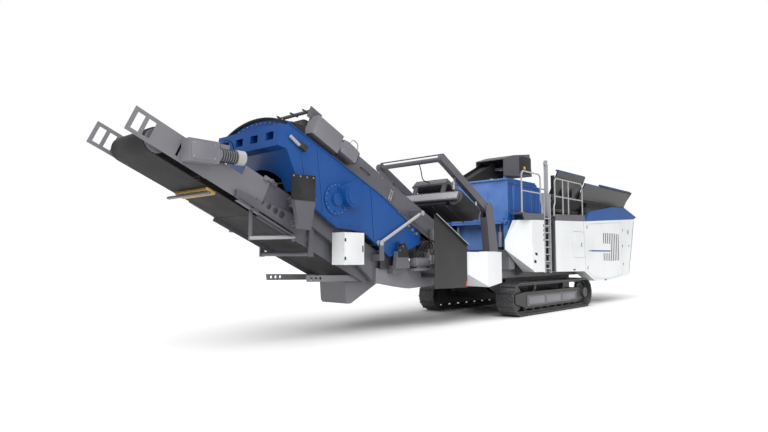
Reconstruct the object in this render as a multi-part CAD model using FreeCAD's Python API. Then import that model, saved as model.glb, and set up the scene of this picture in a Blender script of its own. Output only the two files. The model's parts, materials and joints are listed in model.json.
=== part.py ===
"""Tracked mobile impact crusher with screening unit, modelled as a parametric document.

The frame: X runs along the machine, plus towards the feed hopper and minus towards the
discharge conveyors. Y = 0 is the centre line, minus Y is the side with the ladder.
Z = 0 is the ground, and all sizes are in millimetres.
"""
import FreeCAD
import Part
import math
import os
from FreeCAD import Placement, Rotation, Vector

doc = FreeCAD.newDocument("mobile_crusher")

# Driving dimensions: alias, value, meaning
DIMENSIONS = [
    ("half_length", 9280, "from the middle to either end of the machine"),
    ("half_width", 1500, "over the crawler tracks and side housings"),
    ("fit_gap", 0.3, "seat between pieces that rest on each other"),
    ("move_gap", 8, "running gap beside pieces that move"),
    ("plate", 12, "plain steel plate"),
    ("sheet_wall", 30, "folded panel of the side housings"),
    # Crawler tracks
    ("track_centre", 1250, "centre of a track from the centre line"),
    ("shoe_width", 500, "track shoe across"),
    ("shoe_thick", 30, "track shoe plate"),
    ("lug_tall", 26, "grouser bar on a shoe"),
    ("lug_thick", 26, "grouser bar along the track"),
    ("track_radius", 440, "ground to idler centre, over the lugs"),
    ("shoe_count", 56, "shoes in one track"),
    ("chain_deep", 55, "link chain under the shoes"),
    ("chain_width", 180, "link chain across"),
    ("idler_x", 440, "idler centre"),
    ("sprocket_x", 4500, "sprocket centre"),
    ("roller_radius", 90, "track roller"),
    ("roller_count", 8, "track rollers on one side"),
    ("top_roller_radius", 62, "carrier roller"),
    ("fork_gap", 230, "between the two plates of a crawler frame"),
    ("fork_plate", 26, "plate of a crawler frame"),
    ("fork_low", 175, "lower edge of a crawler frame plate"),
    ("fork_high", 600, "upper edge of a crawler frame"),
    ("sprocket_teeth", 19, "teeth of the drive sprocket"),
    # Chassis
    ("rail_inner", 720, "inner face of a chassis rail"),
    ("rail_wide", 140, "chassis rail across"),
    ("rail_low", 950, "lower edge of a chassis rail"),
    ("rail_high", 1300, "upper edge of a chassis rail"),
    ("rail_left", -4300, "end of the rails under the screen"),
    ("rail_right", 8250, "end of the rails under the hopper"),
    ("beam_low", 330, "undercarriage beam, lower face"),
    ("beam_high", 535, "undercarriage beam, upper face"),
    ("beam_wide", 350, "undercarriage beam along the machine"),
    ("beam_front_x", 1300, "front undercarriage beam"),
    ("beam_rear_x", 3450, "rear undercarriage beam"),
    # Side housings
    ("housing_half", 1490, "outer face of the side housings from the centre line"),
    ("hinge_gap", 14, "gap of a door at its hinged edge"),
    ("knuckle", 7, "radius of a door hinge"),
    ("housing_inner", 1150, "inner wall of a side housing"),
    ("housing_seam_x", 4540, "where the front panels end and the rear ones start"),
    ("front_door_x0", 3610, "hinged edge of the small door"),
    ("front_door_x1", 4450, "free edge of the small door"),
    ("front_door_z0", 1500, "small door, lower edge"),
    ("front_door_z1", 2280, "small door, upper edge"),
    ("rear_door_x0", 4610, "free edge of the engine door"),
    ("rear_door_x1", 7680, "hinged edge of the engine door"),
    ("door_edge", 90, "border of housing left round the engine door"),
    ("slot_count", 9, "slots of the air grille"),
    ("slot_pitch", 165, "air grille slot spacing"),
    ("slot_wide", 70, "air grille slot across"),
    # Crusher
    ("crusher_x0", 500, "front face of the crusher"),
    ("crusher_x1", 2700, "inlet end of the crusher"),
    ("crusher_near", 1120, "near side of the crusher"),
    ("crusher_far", 850, "far side of the crusher"),
    ("crusher_low", 1700, "crusher foot"),
    ("crusher_split", 2460, "split between crusher body and hood"),
    ("crusher_high", 3600, "top flange of the crusher"),
    ("crusher_wall", 60, "crusher housing wall"),
    ("rotor_x", 1650, "rotor axis"),
    ("rotor_z", 2330, "rotor axis"),
    ("rotor_radius", 560, "rotor over its blow bars"),
    ("shaft_radius", 70, "rotor shaft"),
    # Feed hopper
    ("hopper_x0", 2760, "front end of the hopper"),
    ("hopper_split", 4690, "where the folding side walls start"),
    ("hopper_x1", 8700, "rear end of the side walls"),
    ("hopper_hinge_y", 1200, "fold line of a side wall"),
    ("hopper_hinge_z", 3360, "fold line of the walls"),
    ("hopper_top_y", 1430, "upper edge of a side wall"),
    ("hopper_top_z", 3810, "upper edge of the folding side walls"),
    ("hopper_front_z", 4010, "upper edge of the front hopper walls"),
    ("hopper_wall", 40, "hopper wall with its stiffeners"),
    ("trough_half", 900, "feeder trough half width"),
    ("trough_low", 2900, "feeder trough floor"),
    ("trough_high", 3290, "feeder trough side"),
    # Discharge conveyor
    ("main_pitch", 25.5, "slope of the discharge conveyor, degrees"),
    ("main_x", -4000, "reference point on its upper edge"),
    ("main_z", 3260, "reference point on its upper edge"),
    ("main_half", 690, "half width over the side plates"),
    ("main_head", 2000, "head drum from the reference point"),
    ("main_bend", -5250, "bend to the loading part, from the reference point"),
    ("main_tail_x", 2450, "tail drum"),
    ("main_deep", 480, "side plate depth"),
    ("drum_radius", 190, "drum of the wide conveyors"),
    ("belt_thick", 14, "conveyor belt"),
    ("belt_half", 560, "half width of the wide belts"),
    # Fines conveyor
    ("fines_pitch", 24.5, "slope of the fines conveyor, degrees"),
    ("fines_x", -8750, "head drum"),
    ("fines_z", 3250, "head drum"),
    ("fines_half", 690, "half width over the side plates"),
    ("fines_fold_x", -6950, "fold line of the head part"),
    ("fines_tail_x", -4450, "tail drum"),
    # Screen
    ("screen_pitch", 24.5, "slope of the screen, degrees"),
    ("screen_half", 950, "half width over the side plates"),
    # Return conveyor
    ("return_pitch", 24.7, "slope of the return conveyor, degrees"),
    ("return_y", 1200, "centre of the return conveyor"),
    ("return_half", 265, "half width of the return conveyor"),
    ("return_x", -2900, "tail drum of the return conveyor"),
    ("return_z", 1480, "tail drum of the return conveyor"),
    ("return_long", 7050, "between the drums of the return conveyor"),
    ("return_drum", 130, "drum of the return conveyor"),
    ("swivel_x", -2900, "swivel of the return conveyor"),
    # Magnetic separator
    ("magnet_tilt", 25.5, "tilt of the magnet, degrees"),
    ("magnet_near", -1300, "near end of the magnet belt"),
    ("magnet_far", 640, "far end of the magnet belt"),
    # Platform
    ("deck_z", 2640, "walkway"),
    ("rail_tube", 21, "radius of the guard rail tubes"),
    ("guard_top", 3780, "guard rail top"),
    ("mast_high", 4310, "top of the lamp mast"),
    ("mast_x", 2550, "lamp mast"),
    ("mast_y", 1200, "lamp mast, on the near side"),
]

sheet = doc.addObject("Spreadsheet::Sheet", "Dims")
for row, (alias, value, meaning) in enumerate(DIMENSIONS, start=1):
    sheet.set("A%d" % row, alias)
    sheet.set("B%d" % row, str(value))
    sheet.set("C%d" % row, meaning)
    sheet.setAlias("B%d" % row, alias)
doc.recompute()


class Sizes:
    """The cells of the sheet as plain numbers, read by their aliases."""

    def __getattr__(self, alias):
        return float(getattr(sheet, alias))


d = Sizes()


# Shape helpers. An outline is a list of (x, z) points, in the plane of the centre line.

def plate_y(outline, y0, y1):
    """A flat piece with its outline seen from the side, between two Y values."""
    wire = Part.makePolygon([Vector(x, y0, z) for x, z in outline + outline[:1]])
    return Part.Face(wire).extrude(Vector(0, y1 - y0, 0))


def plate_z(outline, z0, z1):
    """A flat piece with its outline seen from above, between two Z values."""
    wire = Part.makePolygon([Vector(x, y, z0) for x, y in outline + outline[:1]])
    return Part.Face(wire).extrude(Vector(0, 0, z1 - z0))


def plate_x(outline, x0, x1):
    """A flat piece with its (y, z) outline seen from the end, between two X values."""
    wire = Part.makePolygon([Vector(x0, y, z) for y, z in outline + outline[:1]])
    return Part.Face(wire).extrude(Vector(x1 - x0, 0, 0))


def block(x0, x1, y0, y1, z0, z1):
    """A box between two corners."""
    return Part.makeBox(x1 - x0, y1 - y0, z1 - z0, Vector(x0, y0, z0))


def drum(x, z, y0, y1, radius):
    """A cylinder across the machine."""
    return Part.makeCylinder(radius, y1 - y0, Vector(x, y0, z), Vector(0, 1, 0))


def rod(start, end, radius):
    """A round bar between two points."""
    start = Vector(*start)
    run = Vector(*end) - start
    return Part.makeCylinder(radius, run.Length, start, run)


def fuse(pieces):
    """One solid from pieces that touch."""
    return pieces[0].multiFuse(pieces[1:]).removeSplitter()


def mirrored(shape):
    """The mirror image across the centre line."""
    return shape.mirror(Vector(0, 0, 0), Vector(0, 1, 0))


def incline(x, z, pitch, way):
    """A sloping line through (x, z): way is -1 where it rises towards minus X, else +1.

    The result turns a distance up the slope and a height square to it into (x, z).
    """
    angle = math.radians(pitch)

    def at(along, above):
        return (
            x + way * (along * math.cos(angle) - above * math.sin(angle)),
            z + along * math.sin(angle) + above * math.cos(angle),
        )

    return at


def sloped(at, along0, along1, above0, above1, y0, y1):
    """A box laid on a slope."""
    corners = [at(along0, above0), at(along1, above0), at(along1, above1), at(along0, above1)]
    return plate_y(corners, y0, y1)


def stadium(at, along0, along1, above, radius, y0, y1):
    """A slot-shaped prism round two drums on a slope."""

    def point(along, height):
        x, z = at(along, height)
        return Vector(x, y0, z)

    top = Part.makeLine(point(along0, above + radius), point(along1, above + radius))
    head = Part.Arc(
        point(along1, above + radius), point(along1 + radius, above), point(along1, above - radius)
    ).toShape()
    low = Part.makeLine(point(along1, above - radius), point(along0, above - radius))
    tail = Part.Arc(
        point(along0, above - radius), point(along0 - radius, above), point(along0, above + radius)
    ).toShape()
    return Part.Face(Part.Wire([top, head, low, tail])).extrude(Vector(0, y1 - y0, 0))


def belt_loop(at, along0, along1, above, radius, half, middle=0.0):
    """A closed conveyor belt round two drums."""
    seat = radius + d.fit_gap
    outer = stadium(at, along0, along1, above, seat + d.belt_thick, middle - half, middle + half)
    inner = stadium(at, along0, along1, above, seat, middle - half - 1, middle + half + 1)
    return outer.cut(inner)


def channel(at, along0, along1, low, high, y_face, out, flange=60):
    """A side plate with two flanges that point outwards, out being -1 or +1."""
    ys = sorted([y_face, y_face + out * d.plate])
    web = sloped(at, along0, along1, low, high, ys[0], ys[1])
    fs = sorted([y_face, y_face + out * flange])
    lower = sloped(at, along0, along1, low, low + d.plate, fs[0], fs[1])
    upper = sloped(at, along0, along1, high - d.plate, high, fs[0], fs[1])
    return fuse([web, lower, upper])


nodes = []


def add(name, shape, placement=None):
    """Adds a sub-part to the document under its node name."""
    feature = doc.addObject("Part::Feature", name)
    feature.Label = name
    feature.Shape = shape
    feature.Placement = placement or Placement(Vector(0, 0, 0), Rotation())
    nodes.append(feature)
    return feature


# Crawler tracks

def track_shape(side):
    """One track loop: shoes with a grouser bar each, on a chain of links."""
    middle = side * d.track_centre
    outer = d.track_radius - d.lug_tall
    inner = outer - d.shoe_thick
    at = incline(d.idler_x, d.track_radius, 0, 1)
    run = d.sprocket_x - d.idler_x
    y0 = middle - d.shoe_width / 2
    y1 = middle + d.shoe_width / 2
    band = stadium(at, 0, run, 0, outer, y0, y1)
    band = band.cut(stadium(at, 0, run, 0, inner, y0 - 1, y1 + 1))
    chain_y0 = middle - d.chain_width / 2
    chain_y1 = middle + d.chain_width / 2
    chain = stadium(at, 0, run, 0, inner, chain_y0, chain_y1)
    chain = chain.cut(stadium(at, 0, run, 0, inner - d.chain_deep, chain_y0 - 1, chain_y1 + 1))
    length = 2 * run + 2 * math.pi * outer
    lugs = []
    for index in range(int(d.shoe_count)):
        place = (index + 0.5) * length / d.shoe_count
        arc = math.pi * outer
        if place < run:
            centre, angle = (d.idler_x + place, d.track_radius), 90.0
        elif place < run + arc:
            centre, angle = (d.sprocket_x, d.track_radius), 90.0 - math.degrees((place - run) / outer)
        elif place < 2 * run + arc:
            centre, angle = (d.sprocket_x - (place - run - arc), d.track_radius), -90.0
        else:
            turned = math.degrees((place - 2 * run - arc) / outer)
            centre, angle = (d.idler_x, d.track_radius), -90.0 - turned
        lug = block(outer - 4, outer + d.lug_tall, y0, y1, -d.lug_thick / 2, d.lug_thick / 2)
        lug.rotate(Vector(0, 0, 0), Vector(0, 1, 0), -angle)
        lug.translate(Vector(centre[0], 0, centre[1]))
        lugs.append(lug)
    return fuse([band, chain] + lugs)


def crawler_frame_shape(side):
    """The side frame that carries the rollers: two plates and the boxes between them."""
    middle = side * d.track_centre
    plate_outline = [
        (d.idler_x - 120, 330),
        (d.idler_x + 260, d.fork_low + 60),
        (d.idler_x + 420, d.fork_low),
        (d.sprocket_x - 420, d.fork_low),
        (d.sprocket_x - 260, d.fork_low + 60),
        (d.sprocket_x + 120, 330),
        (d.sprocket_x + 120, 550),
        (d.sprocket_x - 330, d.fork_high),
        (d.idler_x + 330, d.fork_high),
        (d.idler_x - 120, 550),
    ]
    pieces = []
    for face in (-1, 1):
        y_in = middle + face * d.fork_gap / 2
        y_out = y_in + face * d.fork_plate
        pieces.append(plate_y(plate_outline, min(y_in, y_out), max(y_in, y_out)))
    span = d.fork_gap / 2 + d.fork_plate
    pieces.append(
        block(d.idler_x + 420, d.sprocket_x - 420, middle - span, middle + span, 430, d.fork_high)
    )
    for x in (1500, 3300):
        pieces.append(block(x - 70, x + 70, middle - 60, middle + 60, d.fork_high - 5, 640))
    return fuse(pieces)


def rollers_shape(side):
    """Idler, sprocket, track rollers and carrier rollers of one track."""
    middle = side * d.track_centre
    seat = d.fork_gap / 2 - d.fit_gap
    chain_inner = d.track_radius - d.lug_tall - d.shoe_thick - d.chain_deep
    solids = []
    idler = drum(d.idler_x, d.track_radius, middle - 80, middle + 80, chain_inner - d.fit_gap)
    groove = drum(d.idler_x, d.track_radius, middle - 25, middle + 25, chain_inner + 5)
    core = drum(d.idler_x, d.track_radius, middle - 30, middle + 30, chain_inner - 40)
    hub = drum(d.idler_x, d.track_radius, middle - seat, middle + seat, 90)
    solids.append(fuse([idler.cut(groove), core, hub]))
    disc = drum(d.sprocket_x, d.track_radius, middle - 40, middle + 40, chain_inner - 45)
    teeth = []
    for index in range(int(d.sprocket_teeth)):
        angle = 360.0 * index / d.sprocket_teeth
        tooth = Part.makePolygon([
            Vector(chain_inner - 60, middle - 40, -34),
            Vector(chain_inner - d.fit_gap - 2, middle - 40, -14),
            Vector(chain_inner - d.fit_gap - 2, middle - 40, 14),
            Vector(chain_inner - 60, middle - 40, 34),
            Vector(chain_inner - 60, middle - 40, -34),
        ])
        tooth = Part.Face(tooth).extrude(Vector(0, 80, 0))
        tooth.rotate(Vector(0, 0, 0), Vector(0, 1, 0), angle)
        tooth.translate(Vector(d.sprocket_x, 0, d.track_radius))
        teeth.append(tooth)
    drive = drum(d.sprocket_x, d.track_radius, middle - seat, middle + seat, 170)
    solids.append(fuse([disc, drive] + teeth))
    spacing = (d.sprocket_x - d.idler_x - 2 * 480) / (d.roller_count - 1)
    bottom = d.track_radius - chain_inner + d.fit_gap
    for index in range(int(d.roller_count)):
        x = d.idler_x + 480 + index * spacing
        z = bottom + d.roller_radius
        roller = drum(x, z, middle - 85, middle + 85, d.roller_radius)
        waist = drum(x, z, middle - seat, middle + seat, d.roller_radius - 32)
        solids.append(fuse([roller, waist]))
    for x in (1500, 3300):
        z = d.track_radius + chain_inner - d.fit_gap - d.top_roller_radius
        roller = drum(x, z, middle - 85, middle + 85, d.top_roller_radius)
        stem = block(x - 40, x + 40, middle - 40, middle + 40, 640 + d.fit_gap, z)
        solids.append(fuse([roller, stem]))
    cap_y = middle + side * (d.fork_gap / 2 + d.fork_plate + d.fit_gap)
    cap_end = cap_y + side * 70
    solids.append(drum(d.sprocket_x, d.track_radius, min(cap_y, cap_end), max(cap_y, cap_end), 150))
    return Part.makeCompound(solids)


for side, word in ((-1, "near"), (1, "far")):
    add("track_" + word, track_shape(side))
    add("crawler_frame_" + word, crawler_frame_shape(side))
    add("track_rollers_" + word, rollers_shape(side))


# Chassis

def undercarriage_shape():
    """Two box beams across the crawlers, with the pillars that carry the chassis rails."""
    reach = d.track_centre - d.fork_gap / 2 - d.fork_plate - d.fit_gap
    pieces = []
    for x in (d.beam_front_x, d.beam_rear_x):
        pieces.append(block(x, x + d.beam_wide, -reach, reach, d.beam_low, d.beam_high))
        for side in (-1, 1):
            y0, y1 = sorted([side * d.rail_inner, side * (d.rail_inner + d.rail_wide)])
            foot = [(x - 60, d.rail_low - d.fit_gap), (x + 20, d.beam_high - 5),
                    (x + d.beam_wide - 20, d.beam_high - 5),
                    (x + d.beam_wide + 60, d.rail_low - d.fit_gap)]
            pieces.append(plate_y(foot, y0, y1))
    return Part.makeCompound([fuse(pieces[:3]), fuse(pieces[3:])])


def chassis_shape():
    """Two long rails with cross members, the crusher risers and the tail guard."""
    rail_outline = [
        (d.rail_left, d.rail_high),
        (d.rail_left, 1010),
        (-3650, 905),
        (-3250, 850),
        (-2500, 880),
        (-1600, d.rail_low),
        (d.rail_right, d.rail_low),
        (d.rail_right, d.rail_high),
    ]
    outer = d.rail_inner + d.rail_wide
    pieces = []
    for side in (-1, 1):
        y0, y1 = sorted([side * d.rail_inner, side * outer])
        pieces.append(plate_y(rail_outline, y0, y1))
        riser = [
            (d.crusher_x0, d.rail_high - 5),
            (d.crusher_x0, d.crusher_low - d.fit_gap),
            (d.crusher_x1, d.crusher_low - d.fit_gap),
            (d.crusher_x1 + 150, d.rail_high - 5),
        ]
        pieces.append(plate_y(riser, y0, y1))
    for x in (2960, 4900, 7900):
        pieces.append(block(x, x + 160, -d.rail_inner - 5, d.rail_inner + 5, 1000, 1250))
    pieces.append(block(d.rail_left + 20, d.rail_left + 180, -d.rail_inner - 5, d.rail_inner + 5,
                        1015, 1085))
    guard = [(-4700, 1020), (-4670, 640), (-4620, 585), (-4530, 585), (-3720, 985), (-3720, 1020)]
    pieces.append(plate_y(guard[::-1], -380, 380))
    for side in (-1, 1):
        ys = sorted([side * 600, side * 620])
        bar = plate_y([(-5900, 1190), (-5880, 1070), (-4150, 1030), (-4150, 1150)][::-1], ys[0], ys[1])
        for index in range(3):
            bar = bar.cut(drum(-5780 + 110 * index, 1128, ys[0] - 1, ys[1] + 1, 30))
        pieces.append(bar)
    pieces.append(drive_unit_shape())
    for side in (-1, 1):
        ys = sorted([side * (d.main_half + d.fit_gap), side * (d.rail_inner + 5)])
        pieces.append(block(1500, 1900, ys[0], ys[1], 955, 982))
        pieces.append(block(-2320, -2200, ys[0], ys[1], 1950, 2100))
        ys = sorted([side * d.rail_inner, side * (d.rail_inner + 60)])
        pieces.append(block(-2320, -2200, ys[0], ys[1], d.rail_high - 5, 2150))
    reach = d.housing_inner - d.fit_gap
    for x in (d.beam_front_x, 2960, d.housing_seam_x + 360, 7900):
        for side in (-1, 1):
            ys = sorted([side * (outer - 5), side * reach])
            arm = [(ys[0], d.rail_low + 200), (ys[1], d.rail_low + 200), (ys[1], d.rail_high - 10),
                   (ys[0], d.rail_high - 10)]
            if side < 0:
                arm[1] = (ys[1], d.rail_low + 60)
            else:
                arm[0] = (ys[0], d.rail_low + 60)
            pieces.append(plate_x(arm, x, x + 120))
    pieces.append(swivel_base_shape())
    pieces.append(block(d.crusher_x0, d.crusher_x0 + 300, -d.crusher_near, -outer + 5,
                        d.rail_high - 100, d.crusher_low - d.fit_gap))
    return fuse(pieces)


def drive_unit_shape():
    """The hydraulic drive unit on its shelf beside the near rail."""
    y0, y1 = -d.rail_inner - d.rail_wide - 200, -d.rail_inner - d.rail_wide + 5
    middle = y0 + 100
    shelf = block(-3320, -2300, y0, y1, d.rail_high - 70, d.rail_high - 20)
    motor = rod((-3260, middle, d.rail_high + 105), (-2760, middle, d.rail_high + 105), 100)
    end = rod((-3290, middle, d.rail_high + 105), (-3250, middle, d.rail_high + 105), 60)
    feet = block(-3180, -2840, middle - 60, middle + 60, d.rail_high - 25, d.rail_high + 20)
    valves = block(-2765, -2400, y0 + 20, y1 - 30, d.rail_high - 25, d.rail_high + 330)
    ports = [rod((x, middle, d.rail_high + 325), (x, middle, d.rail_high + 400), 30)
             for x in (-2700, -2590, -2480)]
    return fuse([shelf, motor, end, feet, valves] + ports)


def swivel_base_shape():
    """The outrigger on the far rail that carries the swivel of the return conveyor."""
    y0 = d.rail_inner + d.rail_wide - 5
    x = d.swivel_x
    arm = block(x - 150, x + 150, y0, d.return_y + 150, 1060, swivel_top() - 60)
    stand = Part.makeCylinder(140, 65, Vector(x, d.return_y, swivel_top() - 65), Vector(0, 0, 1))
    return fuse([arm, stand])


def swivel_top():
    """Upper face of the swivel base of the return conveyor."""
    return 1272


add("undercarriage_beams", undercarriage_shape())
add("chassis_frame", chassis_shape())


# Side housings

HOUSING_OUTLINE = [
    (1190, 1120),
    (4430, 1080),
    (5250, 760),
    (6470, 720),
    (8330, 880),
    (9000, 2900),
    (4540, 2620),
    (670, 2490),
    (130, 1800),
]


def inset_outline(outline, inset):
    """The outline moved inwards, for convex or gently bent outlines run anticlockwise."""
    count = len(outline)
    result = []
    for index in range(count):
        before = outline[index - 1]
        here = outline[index]
        after = outline[(index + 1) % count]
        one = unit(before, here)
        two = unit(here, after)
        normal_one = (-one[1], one[0])
        normal_two = (-two[1], two[0])
        share = 1 + normal_one[0] * normal_two[0] + normal_one[1] * normal_two[1]
        result.append((
            here[0] + inset * (normal_one[0] + normal_two[0]) / share,
            here[1] + inset * (normal_one[1] + normal_two[1]) / share,
        ))
    return result


def unit(start, end):
    """The direction from one (x, z) point to another."""
    long = math.hypot(end[0] - start[0], end[1] - start[1])
    return ((end[0] - start[0]) / long, (end[1] - start[1]) / long)


def front_door_outline(grow, hinge_edge=0.0):
    """The small door with two cut corners at its hinged edge."""
    x0, x1 = d.front_door_x0 - grow + hinge_edge, d.front_door_x1 + grow
    z0, z1 = d.front_door_z0 - grow, d.front_door_z1 + grow
    cut = 60 + grow / 2
    return [(x0 + cut, z0), (x1, z0), (x1, z1), (x0 + cut, z1), (x0, z1 - cut), (x0, z0 + cut)]


def rear_door_outline(grow, hinge_edge=0.0):
    """The engine door, whose lower edge follows the housing."""
    edge = d.door_edge - grow
    x0, x1 = d.rear_door_x0 - grow, d.rear_door_x1 + grow - hinge_edge
    return [
        (x0, 1012 + edge), (5250, 760 + edge), (6470, 720 + edge), (x1, 826 + edge),
        (x1, 2815 - edge), (x0, 2625 - edge),
    ]


def housing_shape():
    """The near side housing: a hollow shell with its nose bevelled and its doors cut out."""
    body = plate_y(HOUSING_OUTLINE, -d.housing_half, -d.housing_inner)
    nose_cut = plate_z(
        [(-100, -d.housing_half - 100), (1250, -d.housing_half - 100), (1100, -d.housing_half),
         (60, -d.housing_half + 420), (-100, -d.housing_half + 420)], 600, 3000)
    body = body.cut(nose_cut)
    inner = plate_y(inset_outline(HOUSING_OUTLINE, d.sheet_wall),
                    -d.housing_half + d.sheet_wall, -d.housing_inner - d.sheet_wall)
    wall = d.sheet_wall * 1.2
    nose_inner = plate_z(
        [(-100, -d.housing_half - 100), (1250 + wall, -d.housing_half - 100),
         (1100 + wall, -d.housing_half), (60 + wall, -d.housing_half + 420 + wall),
         (-100, -d.housing_half + 420 + wall)], 600, 3000)
    body = body.cut(inner.cut(nose_inner))
    y0, y1 = -d.housing_half - 1, -d.housing_half + d.sheet_wall + 1
    body = body.cut(plate_y(front_door_outline(d.move_gap), y0, y1))
    body = body.cut(plate_y(rear_door_outline(d.move_gap), y0, y1))
    ladder_bay = block(1790, 2510, -d.housing_half - 1, -d.housing_half + 260, 1000, 2700)
    bay_wall = block(1790 - 20, 2510 + 20, -d.housing_half, -d.housing_half + 280, 1000, 2700)
    bay_wall = bay_wall.common(plate_y(HOUSING_OUTLINE, -d.housing_half, -d.housing_inner))
    body = fuse([body, bay_wall]).cut(ladder_bay)
    for x, way, heights in DOOR_HINGES:
        for z in heights:
            body = fuse([body, knuckle(x, z, -way)])
    return body


DOOR_HINGES = (
    (3609, 1, (1620, 2060)),
    (7681, -1, (1150, 2350)),
)


def knuckle(x, z, way, tall=60):
    """One leaf of a door hinge with its barrel, reaching to the X side given by way."""
    barrel = Part.makeCylinder(d.knuckle, tall, Vector(x, -d.housing_half, z), Vector(0, 0, 1))
    x0, x1 = sorted([x, x + way * (d.hinge_gap / 2 + 2)])
    leaf = block(x0, x1, -d.housing_half, -d.housing_half + d.knuckle, z, z + tall)
    return fuse([barrel, leaf])


def front_door_shape():
    """The small door with its grip recess."""
    edge = d.hinge_gap - d.move_gap
    door = plate_y(front_door_outline(0, edge), -d.housing_half, -d.housing_half + d.sheet_wall)
    grip = block(4240, 4300, -d.housing_half - 1, -d.housing_half + 12, 1820, 1960)
    x, way, heights = DOOR_HINGES[0]
    return fuse([door.cut(grip)] + [knuckle(x, z + 60 + d.fit_gap, way) for z in heights])


def rear_door_shape():
    """The engine door with its air slots; the left slots leave a bare field."""
    edge = d.hinge_gap - d.move_gap
    door = plate_y(rear_door_outline(0, edge), -d.housing_half, -d.housing_half + d.sheet_wall)
    slots = []
    for index in range(int(d.slot_count)):
        x = 6010 + index * d.slot_pitch
        lean = 18 * math.sin(math.pi * index / (d.slot_count - 1))
        spans = [(1400 - lean, 2300 + lean)]
        if index < 4:
            spans = [(1400 - lean, 1640), (1960, 2300 + lean)]
        for low, high in spans:
            slots.append(block(x, x + d.slot_wide, -d.housing_half - 1,
                               -d.housing_half + d.sheet_wall + 1, low, high))
    x, way, heights = DOOR_HINGES[1]
    return fuse([door.cut(slots)] + [knuckle(x, z + 60 + d.fit_gap, way) for z in heights])


COWL_OUTLINE = [
    (4560, 2621.7),
    (9000, 2900.4),
    (9280, 2990),
    (8050, 3265),
    (7000, 3225),
    (4950, 2950),
]


def cowl_shape():
    """The strip over the rear panels."""
    return plate_y(COWL_OUTLINE, -d.housing_half, -d.housing_half + 90)


for name, shape in (
    ("side_housing", housing_shape()),
    ("service_door", front_door_shape()),
    ("engine_door", rear_door_shape()),
    ("cowl_strip", cowl_shape()),
):
    add(name + "_near", shape)
    add(name + "_far", mirrored(shape))

add("engine_block", block(5600, 7600, -800, 800, d.rail_high + d.fit_gap, 2350))


# Crusher

def crusher_body_shape():
    """The lower crusher housing: side walls, front posts and the drive side guard."""
    near, far = -d.crusher_near, d.crusher_far
    x0, x1 = d.crusher_x0, d.crusher_x1
    low, split = d.crusher_low, d.crusher_split
    wall = d.crusher_wall
    outer = block(x0, x1, near, far, low, split - d.move_gap)
    inner = block(x0 + wall, x1 - wall, near + 300, far - wall, low - 1, split)
    body = outer.cut(inner)
    front_bay = block(x0 - 1, x0 + 260, near + 140, far - 120, low - 1, split - 60)
    body = body.cut(front_bay)
    body = fuse([body, block(x0 + 255, x0 + 320, near + 140, far - 120, low, split - d.move_gap)])
    for y0, y1 in ((near - 1, near + 301), (far - wall - 1, far + 1)):
        body = body.cut(drum(d.rotor_x, d.rotor_z, y0, y1, d.shaft_radius + 0.05))
    x, z = HOOD_AXIS
    for y in (near + 40, far - 100):
        body = fuse([body, block(x - 30, x0 + 5, y, y + 60, z - 66, z),
                     drum(x, z, y, y + 60, 30), drum(x, z, y - 70, y + 130, 14)])
    return body


HOOD_AXIS = (460, 2456)


def crusher_hood_shape():
    """The hood that swings up over the rotor, with its flange and open inlet end."""
    near, far = -d.crusher_near, d.crusher_far
    x0, x1 = d.crusher_x0, d.crusher_x1
    split, high = d.crusher_split, d.crusher_high
    wall = d.crusher_wall
    side = [(x0, split), (x1, split), (x1, high - 420), (x1 - 700, high), (x0, high)]
    body = plate_y(side, near, far)
    hollow = plate_y(inset_outline(side, wall), near + wall, far - wall)
    under = block(x0 + wall, x1 - wall, near + wall, far - wall, split - 1, split + wall + 1)
    body = body.cut([hollow, under])
    inlet = block(x1 - wall - 1, x1 + 1, -620, 620, trough_top() - 60, high - 450)
    body = body.cut(inlet)
    flange = block(x0 - 40, x1 - 700, near - 15, far + 15, high - 45, high)
    pieces = [body, flange]
    x, z = HOOD_AXIS
    for y in (near + 40, far - 100):
        for low in (y - 50, y + 60 + d.move_gap):
            pieces.append(drum(x, z, low, low + 42, 30))
            pieces.append(block(x - 20, x0 + 5, low, low + 42, z + 8, z + 90))
    rib_low, rib_high = split + 40, high - 44
    for place in (x0 + 330, x0 + 740, x0 + 1150, x1 - 640):
        pieces.append(block(place, place + 24, near - 15, near + 1, rib_low, rib_high))
        pieces.append(block(place, place + 24, far - 1, far + 15, rib_low, rib_high))
    pieces.append(block(x0 + 40, x1 - 60, near - 15, near + 1, split + 300, split + 324))
    hatch = block(x0 - 16, x0 + 1, -520, 250, split + 330, split + 830)
    pieces.append(hatch)
    for y in (near + 180, far - 200):
        eye = plate_y([(x0 + 120, high - 5), (x0 + 150, high + 90), (x0 + 230, high + 90),
                       (x0 + 260, high - 5)], y, y + 20)
        pieces.append(eye.cut(drum(x0 + 190, high + 45, y - 1, y + 21, 24)))
    hood = fuse(pieces)
    return hood.cut(drum(x, z, near - 50, far + 50, 14.05))


def trough_top():
    """The upper face of the feeder trough floor."""
    return d.trough_low + 20


def rotor_shape():
    """The rotor: a body with four blow bars on a shaft."""
    near, far = -d.crusher_near, d.crusher_far
    core = drum(d.rotor_x, d.rotor_z, -700, far - d.crusher_wall - 60, d.rotor_radius - 110)
    shaft = drum(d.rotor_x, d.rotor_z, near - 20, far + 20, d.shaft_radius)
    pieces = [core, shaft]
    for index in range(4):
        bar = block(d.rotor_radius - 150, d.rotor_radius, -690, far - d.crusher_wall - 70, -55, 55)
        bar.rotate(Vector(0, 0, 0), Vector(0, 1, 0), 45 + 90 * index)
        bar.translate(Vector(d.rotor_x, 0, d.rotor_z))
        pieces.append(bar)
    return fuse(pieces)


add("crusher_body", crusher_body_shape())
add("crusher_hood", crusher_hood_shape())
add("crusher_rotor", rotor_shape())


# Feed hopper

return_at = incline(d.return_x, d.return_z, d.return_pitch, 1)



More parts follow.
